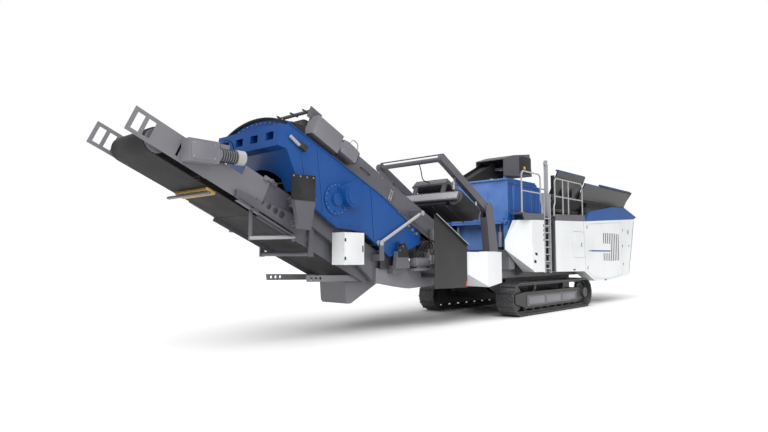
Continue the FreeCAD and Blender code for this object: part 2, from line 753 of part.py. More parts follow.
def trough_shape():
    """The vibrating feeder trough, open at the front towards the crusher."""
    x0, x1 = d.hopper_x0, d.hopper_x1 - 60
    outer = block(x0, x1, -d.trough_half, d.trough_half, d.trough_low, d.trough_high)
    inner = block(x0 - 1, x1 - 20, -d.trough_half + 20, d.trough_half - 20,
                  trough_top(), d.trough_high + 1)
    return outer.cut(inner)


def hopper_frame_shape():
    """Legs, the sloping flanks over the trough and the high front walls."""
    pieces = []
    post_low = d.rail_high + d.fit_gap
    for side in (-1, 1):
        inner, hinge = side * (d.trough_half + 15), side * (d.hopper_hinge_y - 20)
        flank = [
            (inner, d.trough_low + 120),
            (hinge, d.hopper_hinge_z - 70),
            (hinge, d.hopper_hinge_z - 25),
            (inner, d.trough_low + 190),
        ]
        pieces.append(plate_x(flank, d.hopper_x0, d.hopper_x1))
        rib = [(inner, d.trough_low - 60), (hinge, d.hopper_hinge_z - 120),
               (hinge, d.hopper_hinge_z - 60), (inner, d.trough_low + 130)]
        for x in (2960, 5450, 8060):
            pieces.append(plate_x(rib, x, x + 110))
    return pieces, post_low


def hopper_frame_solid():
    """The fixed hopper frame as one solid."""
    pieces, post_low = hopper_frame_shape()
    outer = d.rail_inner + d.rail_wide
    for x in (2960, 5450, 8060):
        cross = block(x, x + 110, -d.trough_half - 20, d.trough_half + 20,
                      d.trough_low - 160, d.trough_low - d.fit_gap)
        pieces.append(cross)
        for side in (-1, 1):
            y0, y1 = sorted([side * (d.rail_inner + 20), side * (outer - 10)])
            pieces.append(block(x, x + 110, y0, y1, post_low, d.trough_low - 155))
    prop_top = return_at((2840 - d.return_x) / math.cos(math.radians(d.return_pitch)), 0)[1]
    prop_top -= 170 / math.cos(math.radians(d.return_pitch)) + 40
    pieces.append(block(2780, 2900, d.return_y - 270, d.return_y - 150, 3080, prop_top))
    for side, top in ((-1, d.hopper_front_z), (1, d.hopper_top_z - 140)):
        foot = (side * (d.hopper_hinge_y - 60), d.hopper_hinge_z - 80)
        tip_y = side * (d.hopper_hinge_y + (d.hopper_top_y - d.hopper_hinge_y)
                        * (top - d.hopper_hinge_z) / (d.hopper_top_z - d.hopper_hinge_z) - 80)
        lean = [foot, (tip_y, top), (tip_y + side * d.hopper_wall, top),
                (foot[0] + side * d.hopper_wall, foot[1])]
        pieces.append(plate_x(lean, d.hopper_x0, d.hopper_split - d.move_gap))
    reach = d.hopper_hinge_y - 15
    pieces.append(block(d.hopper_x1 - 48, d.hopper_x1 + 74, -reach, reach, 3200,
                        d.hopper_hinge_z - 20 - d.move_gap))
    z = d.hopper_hinge_z + 4
    for side in (-1, 1):
        y = side * (d.hopper_hinge_y + 25)
        ys = sorted([side * (d.hopper_hinge_y - 30), side * (d.hopper_hinge_y + 50)])
        front, rear = d.hopper_split - d.move_gap, d.hopper_x1 + 2
        pieces.append(block(front - 42, front, ys[0], ys[1], z - 74, z + 26))
        pieces.append(block(rear, rear + 12, ys[0], ys[1], z - 74, z + 26))
        pieces.append(Part.makeCylinder(14, 100, Vector(front - 5, y, z), Vector(1, 0, 0)))
        pieces.append(Part.makeCylinder(14, 100, Vector(rear - 95, y, z), Vector(1, 0, 0)))
    for y in FLAP_HINGES:
        x, z = FLAP_AXIS
        pieces.append(block(x - 20, x, y, y + 60, z - 9, z - 1))
        pieces.append(drum(x, z, y, y + 60, 9))
    return fuse(pieces)


FLAP_AXIS = (8790, 3332)
FLAP_HINGES = (-900, -60, 780)



def hopper_side_wall():
    """The near folding wall, leaning outwards from its hinge tube."""
    hinge_y, hinge_z = -d.hopper_hinge_y, d.hopper_hinge_z
    lean = [
        (hinge_y - 20, hinge_z),
        (-d.hopper_top_y, d.hopper_top_z),
        (-d.hopper_top_y - d.hopper_wall, d.hopper_top_z),
        (hinge_y - 20 - d.hopper_wall, hinge_z),
    ]
    wall = plate_x(lean, d.hopper_split + d.move_gap, d.hopper_x1)
    rise = plate_x([(-d.hopper_top_y, d.hopper_top_z - 5),
                    (-d.hopper_top_y - 12, d.hopper_top_z + 60),
                    (-d.hopper_top_y - d.hopper_wall, d.hopper_top_z + 60),
                    (-d.hopper_top_y - d.hopper_wall, d.hopper_top_z - 5)],
                   d.hopper_split + 1200, d.hopper_x1)
    tube = Part.makeCylinder(28, d.hopper_x1 - d.hopper_split - 2 * d.move_gap,
                             Vector(d.hopper_split + d.move_gap, hinge_y - 25, hinge_z + 4),
                             Vector(1, 0, 0))
    return fuse([wall, rise, tube]).cut(pin_bores(hinge_y - 25, hinge_z + 4))


def pin_bores(y, z):
    """The bores in both ends of a hinge tube."""
    bores = []
    for x in (d.hopper_split, d.hopper_x1 - 100):
        bores.append(Part.makeCylinder(14.05, 100, Vector(x, y, z), Vector(1, 0, 0)))
    return bores


def hopper_rear_wall():
    """The rear flap of the hopper, which tips outwards."""
    x0 = d.hopper_x1 + 20
    lean = [
        (x0, d.hopper_hinge_z - 20),
        (x0 + 60, d.hopper_hinge_z - 20),
        (x0 + 300, d.hopper_top_z + 60),
        (x0 + 240, d.hopper_top_z + 60),
    ]
    flap = plate_y(lean, -d.hopper_top_y, d.hopper_top_y)
    trim = []
    for side in (-1, 1):
        edge = [(side * (d.hopper_hinge_y - 40), d.hopper_hinge_z - 40),
                (side * (d.hopper_top_y + 30), d.hopper_top_z + 80),
                (side * (d.hopper_top_y + 200), d.hopper_top_z + 80),
                (side * (d.hopper_top_y + 200), d.hopper_hinge_z - 40)]
        trim.append(plate_x(edge, x0 - 5, x0 + 400))
    pieces = [flap.cut(trim)]
    for y in FLAP_HINGES:
        x, z = FLAP_AXIS
        pieces.append(drum(x, z, y + 60 + d.fit_gap, y + 120, 9))
        pieces.append(block(x - 15, x + 9, y + 60 + d.fit_gap, y + 120, z, z + 35))
    return fuse(pieces)


add("feeder_trough", trough_shape())
add("hopper_frame", hopper_frame_solid())
add("hopper_wall_near", hopper_side_wall())
add("hopper_wall_far", mirrored(hopper_side_wall()))
add("hopper_wall_rear", hopper_rear_wall())


# Walkway, ladder, guard rails and lamp mast

def platform_shape():
    """The walkway with its toe board."""
    deck = block(620, 4540, -d.housing_half, -d.crusher_near - 25, d.deck_z + d.fit_gap, d.deck_z + 40)
    toe = plate_y([(680, 2490.8), (4540, 2620.4), (4540, 2815), (620, 2660), (620, 2600)],
                  -d.housing_half, -d.housing_half + 20)
    return deck, toe


def walkway_shape():
    """Walkway deck, toe board and ladder opening."""
    deck, toe = platform_shape()
    solid = fuse([deck, toe])
    return solid.cut(block(1800, 2500, -d.housing_half - 5, -d.housing_half + 250, 2400, 2900))


def ladder_shape():
    """The fixed ladder in its bay: two stiles and their rungs."""
    y = -d.housing_half + 110
    pieces = [block(x, x + 40, y - 35, y + 35, 1075, 3300) for x in (1960, 2330)]
    for index in range(8):
        z = 1180 + index * 200
        pieces.append(block(1995, 2335, y - 30, y + 30, z, z + 30))
    for x in (1960, 2330):
        for z in (1300, 2350):
            pieces.append(block(x, x + 40, y + 30, -d.housing_half + 260 - d.fit_gap, z, z + 60))
    return fuse(pieces)


def bent_tube(points, radius):
    """A round tube along a line with its bends filled."""
    bars = [rod(start, end, radius) for start, end in zip(points, points[1:])]
    return bars + [Part.makeSphere(radius, Vector(*point)) for point in points[1:-1]]


def guard_rail_shape():
    """Guard rails each side of the ladder opening, their feet bent in beside the ladder."""
    y = -d.half_width + 55
    foot, top, mid = d.deck_z + 40 + d.fit_gap, d.guard_top, d.guard_top - 520
    bend, sway = 90, 70
    solids = []
    for x0, x1, foot0, foot1, posts in (
        (640, 1700, 640, 1700 + sway, ()),
        (2580, 4480, 2580 - sway, 4480, (3100, 3480)),
    ):
        line = [(foot0, y, foot), (foot0, y, foot + 260), (x0, y, foot + 400), (x0, y, top - bend),
                (x0 + bend, y, top), (x1 - bend, y, top), (x1, y, top - bend), (x1, y, foot + 400),
                (foot1, y, foot + 260), (foot1, y, foot)]
        bars = bent_tube(line, d.rail_tube)
        bars.append(rod((x0, y, mid), (x1, y, mid), d.rail_tube * 0.8))
        bars += [rod((x, y, foot), (x, y, top), d.rail_tube) for x in posts]
        solids.append(fuse(bars))
    return Part.makeCompound(solids)


def mast_shape():
    """The lamp mast with its cross-shaped head."""
    x, y = d.mast_x, -d.mast_y
    foot = d.deck_z + 40 + d.fit_gap
    mast = block(x - 45, x + 45, y - 45, y + 45, foot, d.mast_high - 120)
    head = block(x - 105, x + 105, y - 30, y + 30, d.mast_high - 125, d.mast_high - 60)
    cross = block(x - 30, x + 30, y - 58, y + 58, d.mast_high - 125, d.mast_high - 60)
    cap = block(x - 40, x + 40, y - 40, y + 40, d.mast_high - 65, d.mast_high)
    return fuse([mast, head, cross, cap])


add("walkway", walkway_shape())
add("ladder", ladder_shape())
add("guard_rails", guard_rail_shape())
add("lamp_mast", mast_shape())


# Discharge conveyor

main_at = incline(d.main_x, d.main_z, d.main_pitch, -1)


def main_axis():
    """Drum line of the discharge conveyor: head, bend and tail as (x, z)."""
    head = main_at(d.main_head, -270)
    bend = main_at(d.main_bend, -270)
    tail = (d.main_tail_x, bend[1] + 20)
    return head, bend, tail


def bent_band(points, reach, y0, y1):
    """A prism of constant half height along a bent line, square at both ends."""
    upper, lower = [], []
    for index, here in enumerate(points):
        before = points[max(index - 1, 0)]
        after = points[min(index + 1, len(points) - 1)]
        if before == here:
            direction = unit(here, after)
            share = 1.0
        elif after == here:
            direction = unit(before, here)
            share = 1.0
        else:
            one, two = unit(before, here), unit(here, after)
            direction = unit((0, 0), (one[0] + two[0], one[1] + two[1]))
            share = direction[0] * one[0] + direction[1] * one[1]
        normal = (direction[1], -direction[0])
        upper.append((here[0] - normal[0] * reach / share, here[1] - normal[1] * reach / share))
        lower.append((here[0] + normal[0] * reach / share, here[1] + normal[1] * reach / share))
    return plate_y(upper + lower[::-1], y0, y1)


def bent_belt(points, radius, half):
    """A belt along a bent line with a drum at each end."""
    outer_r = radius + d.fit_gap + d.belt_thick
    inner_r = radius + d.fit_gap
    solids = []
    for reach, extra in ((outer_r, 0), (inner_r, 1)):
        band = bent_band(points, reach, -half - extra, half + extra)
        ends = [drum(x, z, -half - extra, half + extra, reach) for x, z in (points[0], points[-1])]
        solids.append(fuse([band] + ends))
    return solids[0].cut(solids[1])


STRUT = ((-4330, 1800), (-3010, 2470))
STRUT_Y = -1000


def main_frame_shape():
    """Side plates, drums and cross tubes of the discharge conveyor."""
    head, bend, tail = main_axis()
    pieces = []
    for side in (-1, 1):
        y_face = side * (d.main_half - d.plate)
        pieces.append(channel(main_at, d.main_bend, d.main_head + 40, -d.main_deep, 0, y_face, side, 12.5))
        ys = sorted([y_face, y_face + side * d.plate])
        load = [main_at(d.main_bend, -d.main_deep), main_at(d.main_bend, 0),
                (tail[0] + 150, tail[1] + 210), (tail[0] + 150, tail[1] - 210)]
        pieces.append(plate_y(load, ys[0], ys[1]))
    inner = d.main_half - d.plate
    for x, z in (head, tail):
        pieces.append(drum(x, z, -belt_reach(), belt_reach(), d.drum_radius))
        pieces.append(drum(x, z, -inner - 1, inner + 1, 45))
    for along in (1500, 300, -900, -2100, -3300, -4500):
        x, z = main_at(along, -270)
        pieces.append(drum(x, z, -inner - 1, inner + 1, 50))
    (x0, z0), (x1, z1) = STRUT
    run = unit((x0, z0), (x1, z1))
    low = (x0 + 30 * run[0], z0 + 30 * run[1])
    pieces.append(rod((low[0], STRUT_Y, low[1]), (x1, STRUT_Y, z1), 25))
    pieces.append(drum(x0, z0, STRUT_Y - 35 + d.fit_gap, STRUT_Y + 35 - d.fit_gap, 40))
    pieces.append(block(x1 - 60, x1 + 60, STRUT_Y - 40, -d.main_half + 2, z1 - 60, z1 + 60))
    return fuse(pieces)


def belt_reach():
    """Half length of the drums of the wide conveyors."""
    return d.belt_half + 20


def main_belt_shape():
    """The belt of the discharge conveyor."""
    return bent_belt(list(main_axis()), d.drum_radius, d.belt_half)


def main_drive_shape():
    """Drive guard, gear case and motor on the near side of the discharge head."""
    y = -d.main_half - 0.3
    case = sloped(main_at, 1400, 2090, -450, -60, y - 260, y)
    motor_x, motor_z = main_at(1380, -230)
    motor = rod((motor_x - 60, y - 150, motor_z), (motor_x + 420, y - 150, motor_z - 120), 120)
    return fuse([case, motor])


add("discharge_conveyor_frame", main_frame_shape())
add("discharge_conveyor_belt", main_belt_shape())
add("discharge_conveyor_drive", main_drive_shape())


# Screen

screen_at = incline(-5100, 2020, d.screen_pitch, -1)


SCREEN_FRONT = ((-6700, 3500), (-6320, 2690))
CAP_X = (-6600, -6220)
CAP_EDGE = 3820
CAP_CROWN = 4010


def arch(x0, x1, half, low, edge, crown):
    """A slab across the machine whose top is an arc from edge height up to the crown."""
    foot = Part.makePolygon([Vector(x0, half, edge), Vector(x0, half, low),
                             Vector(x0, -half, low), Vector(x0, -half, edge)])
    top = Part.Arc(Vector(x0, -half, edge), Vector(x0, 0, crown), Vector(x0, half, edge)).toShape()
    return Part.Face(Part.Wire(foot.Edges + [top])).extrude(Vector(x1 - x0, 0, 0))


def screen_front_shape(inner):
    """The sloping front plate with its arched opening, and the arched plate under the cap."""
    (x0, z0), (x1, z1) = SCREEN_FRONT
    front = plate_y([(x0, z0), (x1, z1), (x1 + d.plate, z1 + 6), (x0 + d.plate, z0 + 6)],
                    -inner - 1, inner + 1)
    front = front.cut(arch(x0 - 50, x1 + 50, 520, z1 - 60, z1 + 230, z1 + 430))
    crest = arch(CAP_X[0], CAP_X[0] + d.plate, inner + 1, 3560, CAP_EDGE, CAP_CROWN)
    return [front, crest]


def screen_box_shape():
    """The screen box: two side plates, its front, cross tubes and the slotted cross beam."""
    outline = [
        (-6620, 3860),
        (-4250, 2790),
        (-3000, 2040),
        (-2990, 1810),
        (-3500, 1640),
        (-4000, 1520),
        (-4780, 2005),
        (-5480, 2060),
        (-5960, 2350),
        SCREEN_FRONT[1],
        SCREEN_FRONT[0],
    ]
    pieces = []
    for side in (-1, 1):
        ys = sorted([side * d.screen_half, side * (d.screen_half - 20)])
        pieces.append(plate_y(outline[::-1], ys[0], ys[1]))
    inner = d.screen_half - 20
    for x, z, radius in ((-6450, 3560, 50), (-5300, 2290, 70), (-4000, 1700, 60), (-3250, 1950, 50)):
        pieces.append(drum(x, z, -inner - 1, inner + 1, radius))
    pieces.append(drum(-4900, 2560, -inner - 1, inner + 1, 110))
    beam = plate_y([(-6830, 3420), (-6640, 3380), (-6600, 3800), (-6800, 3800)],
                   -inner - 18, inner + 18)
    holes = [plate_x([(y - 110, 3540), (y + 110, 3540), (y + 110, 3680), (y - 110, 3680)],
                     -6900, -6500) for y in (-690, -230, 230, 690)]
    pieces.append(beam.cut(holes))
    pieces += screen_front_shape(inner)
    for side in (-1, 1):
        ys = sorted([side * (d.screen_half - 5), side * (d.screen_half + 125)])
        for x, low in SPRING_PLACES:
            seat = low + SPRING_TALL + 2 * d.fit_gap
            pieces.append(block(x - 70, x + 70, ys[0], ys[1], seat, seat + 45))
    return fuse(pieces)


SPRING_PLACES = ((-6290, 2560), (-3720, 1640))
SPRING_TALL = 150


def screen_deck_shape():
    """Two screen decks between the side plates."""
    inner = d.screen_half - 20 - d.fit_gap
    decks = []
    for above in (260, 760):
        decks.append(sloped(screen_at, -1500, 1450, above, above + 30, -inner, inner))
    return Part.makeCompound(decks)


def screen_cap_shape():
    """The arched rubber cap over the upper end of the screen."""
    inner = d.screen_half - 20 - d.fit_gap
    gap, thick = d.fit_gap, 40
    shell = arch(CAP_X[0] - 40, CAP_X[1], inner, 3700, CAP_EDGE + gap + thick, CAP_CROWN + gap + thick)
    rim = arch(CAP_X[0] - 41, CAP_X[0] + d.plate + gap, inner + 1, 3600, CAP_EDGE + gap,
               CAP_CROWN + gap)
    room = arch(CAP_X[0] + d.plate, CAP_X[1] + 1, inner - thick, 3600, CAP_EDGE + gap - 20,
                CAP_CROWN + gap)
    return shell.cut([rim, room])


EXCITER = ((-5490, 2590), (-5150, 2690))


def exciter_shape():
    """Exciter housing on the near side of the screen, with its flange and shaft guard."""
    y = -d.screen_half - d.fit_gap
    (x0, z0), (x1, z1) = EXCITER
    pieces = [
        drum(x1, z1, y - 165, y, 240), drum(x1, z1, y - 180, y, 190),
        drum(x0, z0, y - 26, y, 290), drum(x0, z0, y - 70, y, 120),
        plate_y([(x0, z0 - 60), (x1, z1 - 80), (x1, z1 + 80), (x0, z0 + 60)], y - 60, y),
    ]
    for index in range(6):
        angle = math.radians(60 * index + 20)
        pieces.append(drum(x0 + 225 * math.cos(angle), z0 + 225 * math.sin(angle), y - 48, y, 24))
    return fuse(pieces)


add("screen_box", screen_box_shape())
add("screen_decks", screen_deck_shape())
add("screen_cap", screen_cap_shape())
add("screen_exciter", exciter_shape())


# Frame under the screen

def screen_frame_shape():
    """Sloping side beams from the chassis to the screen posts, with the hole plates."""
    at = incline(-4100, 1330, d.fines_pitch, -1)
    pieces = []
    inner = d.rail_inner
    for side in (-1, 1):
        ys = sorted([side * inner, side * (inner + 90)])
        beam = [
            (d.rail_left + 250, d.rail_high + d.fit_gap),
            (d.rail_left + 250, d.rail_high + 260),
            at(900, 260),
            at(2500, 330),
            at(2650, 120),
            at(2300, -60),
            at(900, -170),
            (d.rail_left - 0.3, 1020),
            (d.rail_left - 0.3, d.rail_high + d.fit_gap),
        ]
        pieces.append(plate_y(beam[::-1], ys[0], ys[1]))
        gusset = plate_y([(-7490, 2500), (-6310, 1940), (-6200, 2240), (-7490, 2620)],
                         min(side * inner, side * (inner + 40)),
                         max(side * inner, side * (inner + 40)))
        for index in range(6):
            radius = 28 + 8 * index
            x = -7270 + index * 138
            gusset = gusset.cut(drum(x, 2575 - index * 64, -inner - 100, inner + 100, radius))
        pieces.append(gusset)
        ps = sorted([side * (d.screen_half + 40), side * (d.screen_half + 130)])
        post = [(-6450, 2010), (-6190, 1990), (-6080, 2560), (-6560, 2560), (-6560, 2480)]
        pieces.append(plate_y(post, ps[0], ps[1]))
        foot = sorted([side * (inner + 5), side * (d.screen_half + 60)])
        pieces.append(block(-6400, -6200, foot[0], foot[1], 2400, 2460))
        rear = [(-3950, 1290), (-3500, 1290), (-3560, 1640), (-3900, 1640)]
        pieces.append(plate_y(rear, ps[0], ps[1]))
        pieces.append(block(-3950, -3500, *sorted([side * (d.rail_inner + d.rail_wide + 0.3),
                                                   side * (d.screen_half + 60)]), 1180, 1295))
    return pieces


def screen_frame_solid():
    """The frame as one solid, tied by two cross tubes."""
    pieces = screen_frame_shape()
    pieces.append(drum(-5910, 1585, -d.rail_inner - 5, d.rail_inner + 5, 45))
    for side in (-1, 1):
        ys = sorted([side * d.rail_inner, side * (d.rail_inner + 40)])
        pieces.append(block(-5960, -5860, ys[0], ys[1], 1530, 2150))
        ys = sorted([side * (d.fines_half + d.fit_gap), side * (d.rail_inner + 5)])
        pieces.append(block(-5960, -5860, ys[0], ys[1], 1800, 1900))
        pieces.append(block(-4760, -4640, ys[0], ys[1], 1400, 1500))
    for side in (-1, 1):
        ys = sorted([side * (d.rail_inner + 60), side * (d.screen_half + 60)])
        pieces.append(block(-3950, -3500, ys[0], ys[1], 1305, 1345))
    x, z = STRUT[0]
    outer = STRUT_Y - 35
    pieces.append(plate_y([(x - 70, 1450), (x + 70, 1450), (x + 60, z + 50), (x - 60, z + 50)],
                          outer - 14, outer))
    pieces.append(block(x - 70, x + 70, outer - 14, -d.rail_inner - 85, 1450, 1580))
    return fuse(pieces)



add("screen_frame", screen_frame_solid())

spring_solids = []
for side in (-1, 1):
    for x, low in SPRING_PLACES:
        spring_solids.append(Part.makeCylinder(
            45, SPRING_TALL, Vector(x, side * (d.screen_half + 80), low + d.fit_gap), Vector(0, 0, 1)))
add("screen_springs", Part.makeCompound(spring_solids))


def spring_covers_shape():
    """Rubber flaps that hang over the springs, in front of their posts."""
    flaps = []
    for side in (-1, 1):
        ys = sorted([side * (d.screen_half + 130 + d.fit_gap), side * (d.screen_half + 142)])
        flaps.append(plate_y([(-6640, 2500), (-6110, 2500), (-6110, 2950), (-6640, 2930)],
                             ys[0], ys[1]))
        flaps.append(plate_y([(-3880, 1520), (-3560, 1520), (-3560, 1660), (-3690, 1830), (-3880, 1700)],
                             ys[0], ys[1]))
    return Part.makeCompound(flaps)


add("spring_covers", spring_covers_shape())


# Fines conveyor

fines_at = incline(d.fines_x, d.fines_z, d.fines_pitch, -1)


def fines_along(x):
    """Distance up the slope of a point on the drum line, from its X."""
    return (d.fines_x - x) / math.cos(math.radians(d.fines_pitch))


def fines_frame_shape():
    """Fixed part: side plates, tail drum, cross tubes and the hole plates below."""
    start = fines_along(d.fines_tail_x) - 160
    end = fines_along(d.fines_fold_x) - d.move_gap
    pieces = []
    inner = d.fines_half - d.plate
    upper = fines_along(-5900)
    for side in (-1, 1):
        y_face = side * inner
        ys = sorted([y_face, y_face + side * d.plate])
        pieces.append(sloped(fines_at, start, end, -260, 240, ys[0], ys[1]))
        pieces.append(sloped(fines_at, upper, end, 235, 420, ys[0], ys[1]))
    x, z = fines_at(fines_along(d.fines_tail_x), 0)
    pieces.append(drum(x, z, -belt_reach(), belt_reach(), d.drum_radius))
    pieces.append(drum(x, z, -inner - 1, inner + 1, 40))
    along, above = fold_point()
    x, z = fines_at(along, above)
    for side in (-1, 1):
        ys = sorted([side * (d.fines_half - 2), side * (d.fines_half + 18)])
        pieces.append(sloped(fines_at, along - 130, along - 3, above - 60, above + 20, ys[0], ys[1]))
        ys = sorted([side * (d.fines_half + 8), side * (d.fines_half + 18)])
        pieces.append(drum(x, z, ys[0], ys[1], 34))
        pin = sorted([side * (d.fines_half + 10), side * (d.fines_half + 44)])
        pieces.append(drum(x, z, pin[0], pin[1], 14))
    for place in (-5100, -5700, -6300):
        x, z = fines_at(fines_along(place), 0)
        pieces.append(drum(x, z, -inner - 1, inner + 1, 45))
    return fuse(pieces)


def fold_point():
    """The fold axis of the fines head, along and above the drum line."""
    return fines_along(d.fines_fold_x) - d.move_gap / 2, 440


def fines_belt_shape(cut_low, cut_high):
    """The belt between two places on the slope; the far drum lies outside the cut."""
    loop = belt_loop(fines_at, fines_along(d.fines_tail_x), 0, 0, d.drum_radius, d.belt_half)
    keep = sloped(fines_at, cut_low, cut_high, -600, 600, -d.belt_half - 5, d.belt_half + 5)
    return loop.common(keep)


def fines_head_shape():
    """Folding head part: side plates, open head brackets, drum and drive seat."""
    start = fines_along(d.fines_fold_x)
    inner = d.fines_half - d.plate
    pieces = []
    for side in (-1, 1):
        y_face = side * inner
        ys = sorted([y_face, y_face + side * d.plate])
        pieces.append(sloped(fines_at, start, -330, -150, 240, ys[0], ys[1]))
        pieces.append(sloped(fines_at, start, fines_along(-7450), 235, 420, ys[0], ys[1]))
        reach = (d.half_length + d.fines_x - 150 * math.sin(math.radians(d.fines_pitch))) \
            / math.cos(math.radians(d.fines_pitch))
        bracket = sloped(fines_at, -520, reach, -150, 240, ys[0], ys[1])
        for along in (-440, 120, 300):
            bracket = bracket.cut(sloped(fines_at, along + 30, along + 150, -90, 180,
                                         ys[0] - 1, ys[1] + 1))
        pieces.append(bracket)
        hub = sorted([side * (inner - 40), side * (inner + d.plate)])
        pieces.append(drum(d.fines_x, d.fines_z, hub[0], hub[1], 90))
    pieces.append(drum(d.fines_x, d.fines_z, -belt_reach(), belt_reach(), d.drum_radius))
    pieces.append(drum(d.fines_x, d.fines_z, -inner - 1, inner + 1, 40))
    x, z = fines_at(start / 2, 0)
    pieces.append(drum(x, z, -inner - 1, inner + 1, 45))
    along, above = fold_point()
    x, z = fines_at(along, above)
    for side in (-1, 1):
        ys = sorted([side * (d.fines_half + 26), side * (d.fines_half + 38)])
        pieces.append(drum(x, z, ys[0], ys[1], 34))
        pieces.append(sloped(fines_at, along, along + 160, above - 30, above + 20, ys[0], ys[1]))
        ys = sorted([side * (d.fines_half - 2), side * (d.fines_half + 38)])
        pieces.append(sloped(fines_at, along + 100, along + 160, above - 60, above + 20, ys[0], ys[1]))
    bore = drum(x, z, -d.fines_half - 46, d.fines_half + 46, 14.05)
    return fuse(pieces).cut(bore)


def fines_drive_shape():
    """Drive guard and motor on the near side of the fines conveyor head."""
    y = -d.fines_half - d.fit_gap
    guard = block(-8430, -7920, y - 240, y, 2960, 3300)
    motor = rod((-7925, y - 120, 3120), (-7440, y - 120, 3120), 105)
    box = block(-7860, -7700, y - 170, y - 60, 3200, 3290)
    return fuse([guard, motor, box])


fold_along = fines_along(d.fines_fold_x)
add("fines_conveyor_frame", fines_frame_shape())
add("fines_conveyor_belt", fines_belt_shape(fines_along(d.fines_tail_x) - 300,
                                            fold_along - d.move_gap))
add("fines_head_frame", fines_head_shape())
add("fines_head_belt", fines_belt_shape(fold_along, 300))
add("fines_drive", fines_drive_shape())


# Return conveyor on the far side

def return_frame_shape():
    """Side plates, drums and rollers of the return conveyor, with its swivel pin."""
    pieces = []
    inner = d.return_half - d.plate
    for side in (-1, 1):
        y_face = d.return_y + side * inner
        ys = sorted([y_face, y_face + side * d.plate])
        pieces.append(sloped(return_at, -150, 700, -170, 60, ys[0], ys[1]))
        pieces.append(sloped(return_at, 690, d.return_long + 60, -170, 230, ys[0], ys[1]))
    for along, radius in ((0, d.return_drum), (d.return_long, d.return_drum)):
        x, z = return_at(along, 0)
        pieces.append(drum(x, z, d.return_y - inner + 30, d.return_y + inner - 30, radius))
        pieces.append(drum(x, z, d.return_y - inner - 1, d.return_y + inner + 1, 30))
    for index in range(1, 7):
        x, z = return_at(d.return_long * index / 7, 0)
        pieces.append(drum(x, z, d.return_y - inner - 1, d.return_y + inner + 1, 35))
    seat = swivel_top() + d.fit_gap
    x = d.swivel_x
    pieces.append(block(x - 90, x + 130, d.return_y - d.return_half, d.return_y + d.return_half,
                        seat, seat + 30))
    for side in (-1, 1):
        ys = sorted([d.return_y + side * inner, d.return_y + side * d.return_half])
        pieces.append(block(x - 90, x + 130, ys[0], ys[1], seat, seat + 130))
    return fuse(pieces)


def return_belt_shape():
    """The belt of the return conveyor."""
    return belt_loop(return_at, 0, d.return_long, 0, d.return_drum, d.return_half - 60, d.return_y)


def return_hood_shape():
    """The discharge box at the head, which turns the stone inwards to the crusher inlet."""
    head_x, head_z = return_at(d.return_long, 0)
    wall = 30
    outline = [
        (head_x - 455, head_z - 326),
        (head_x - 455, head_z + 214),
        (head_x + 195, head_z + 404),
        (head_x + 1245, head_z + 564),
        (head_x + 1395, head_z - 186),
    ]
    hollow = [
        (head_x - 505, head_z - 426),
        (head_x - 505, head_z + 174),
        (head_x + 195, head_z + 369),
        (head_x + 1210, head_z + 524),
        (head_x + 1345, head_z - 426),
    ]
    inward = d.return_y - d.return_half - 485
    outer = plate_y(outline[::-1], inward, d.half_width)
    inner = plate_y(hollow[::-1], inward + wall, d.half_width - wall)
    near_plate = d.return_y - d.return_half - d.fit_gap
    far_plate = d.return_y + d.return_half + d.fit_gap
    low, high = head_z - 116, head_z - 36
    tie = block(head_x - 205, head_x - 125, inward + wall - 5, near_plate, low, high)
    pad = block(head_x - 205, head_x - 5, far_plate, d.half_width - wall + 2, low - 20, high)
    return fuse([outer.cut(inner), tie, pad])


add("return_conveyor_frame", return_frame_shape())
add("return_conveyor_belt", return_belt_shape())
add("return_hood", return_hood_shape())

# Magnetic separator over the discharge conveyor

MAGNET_X = -1500
MAGNET_Z = 2730
ARM_TIP = (-2370, 3730)
ARM_PIVOT = (-560, 2730)
ARM_SIDES = (-1100, 790)


def magnet_loop(radius, x0, x1):
    """A prism round the two drums of the magnet belt."""
    y0, y1 = d.magnet_near + 200, d.magnet_far - 200
    pieces = [block(x0, x1, y0, y1, -radius, radius)]
    for y in (y0, y1):
        pieces.append(Part.makeCylinder(radius, x1 - x0, Vector(x0, y, 0), Vector(1, 0, 0)))
    return fuse(pieces)


def magnet_belt_shape():
    """The cleated belt of the magnet, running across the machine."""
    half = 390
    outer = magnet_loop(199, -half, half)
    inner = magnet_loop(185, -half - 1, half + 1)
    cleats = []
    for y in (-900, -500, -100, 260):
        cleats.append(block(-half, half, y - 12, y + 12, -235, -195))
    return fuse([outer.cut(inner)] + cleats)


def magnet_body_shape():
    """Magnet core, drums and side beams, with the cover and its stands."""
    y0, y1 = d.magnet_near + 200, d.magnet_far - 200
    core = block(-400, 400, y0 + 260, y1 - 260, -150, 150)
    pieces = [core]
    for y in (y0, y1):
        pieces.append(Part.makeCylinder(184.7, 800, Vector(-400, y, 0), Vector(1, 0, 0)))
        pieces.append(Part.makeCylinder(30, 960, Vector(-480, y, 0), Vector(1, 0, 0)))
    for x0, x1 in ((-505, -465), (465, 505)):
        pieces.append(block(x0, x1, d.magnet_near + 60, ARM_SIDES[1] + 40, -110, 110))
        pieces.append(block(x0, x1, y0 + 280, y0 + 400, 105, 330))
        pieces.append(block(x0, x1, y1 - 400, y1 - 280, 105, 330))
    pieces.append(block(-480, 480, y0 + 300, y0 + 380, -60, 60))
    pieces.append(block(-480, 480, y1 - 380, y1 - 300, -60, 60))
    cover = plate_x([(y0 + 200, 320), (y1 - 200, 320), (y1 - 300, 480), (y0 + 300, 480)],
                    -510, 300)
    pieces.append(cover)
    pieces.append(block(-505, 505, y0 + 280, y0 + 400, 320, 345))
    pieces.append(block(-505, 505, y1 - 400, y1 - 280, 320, 345))
    return fuse(pieces)


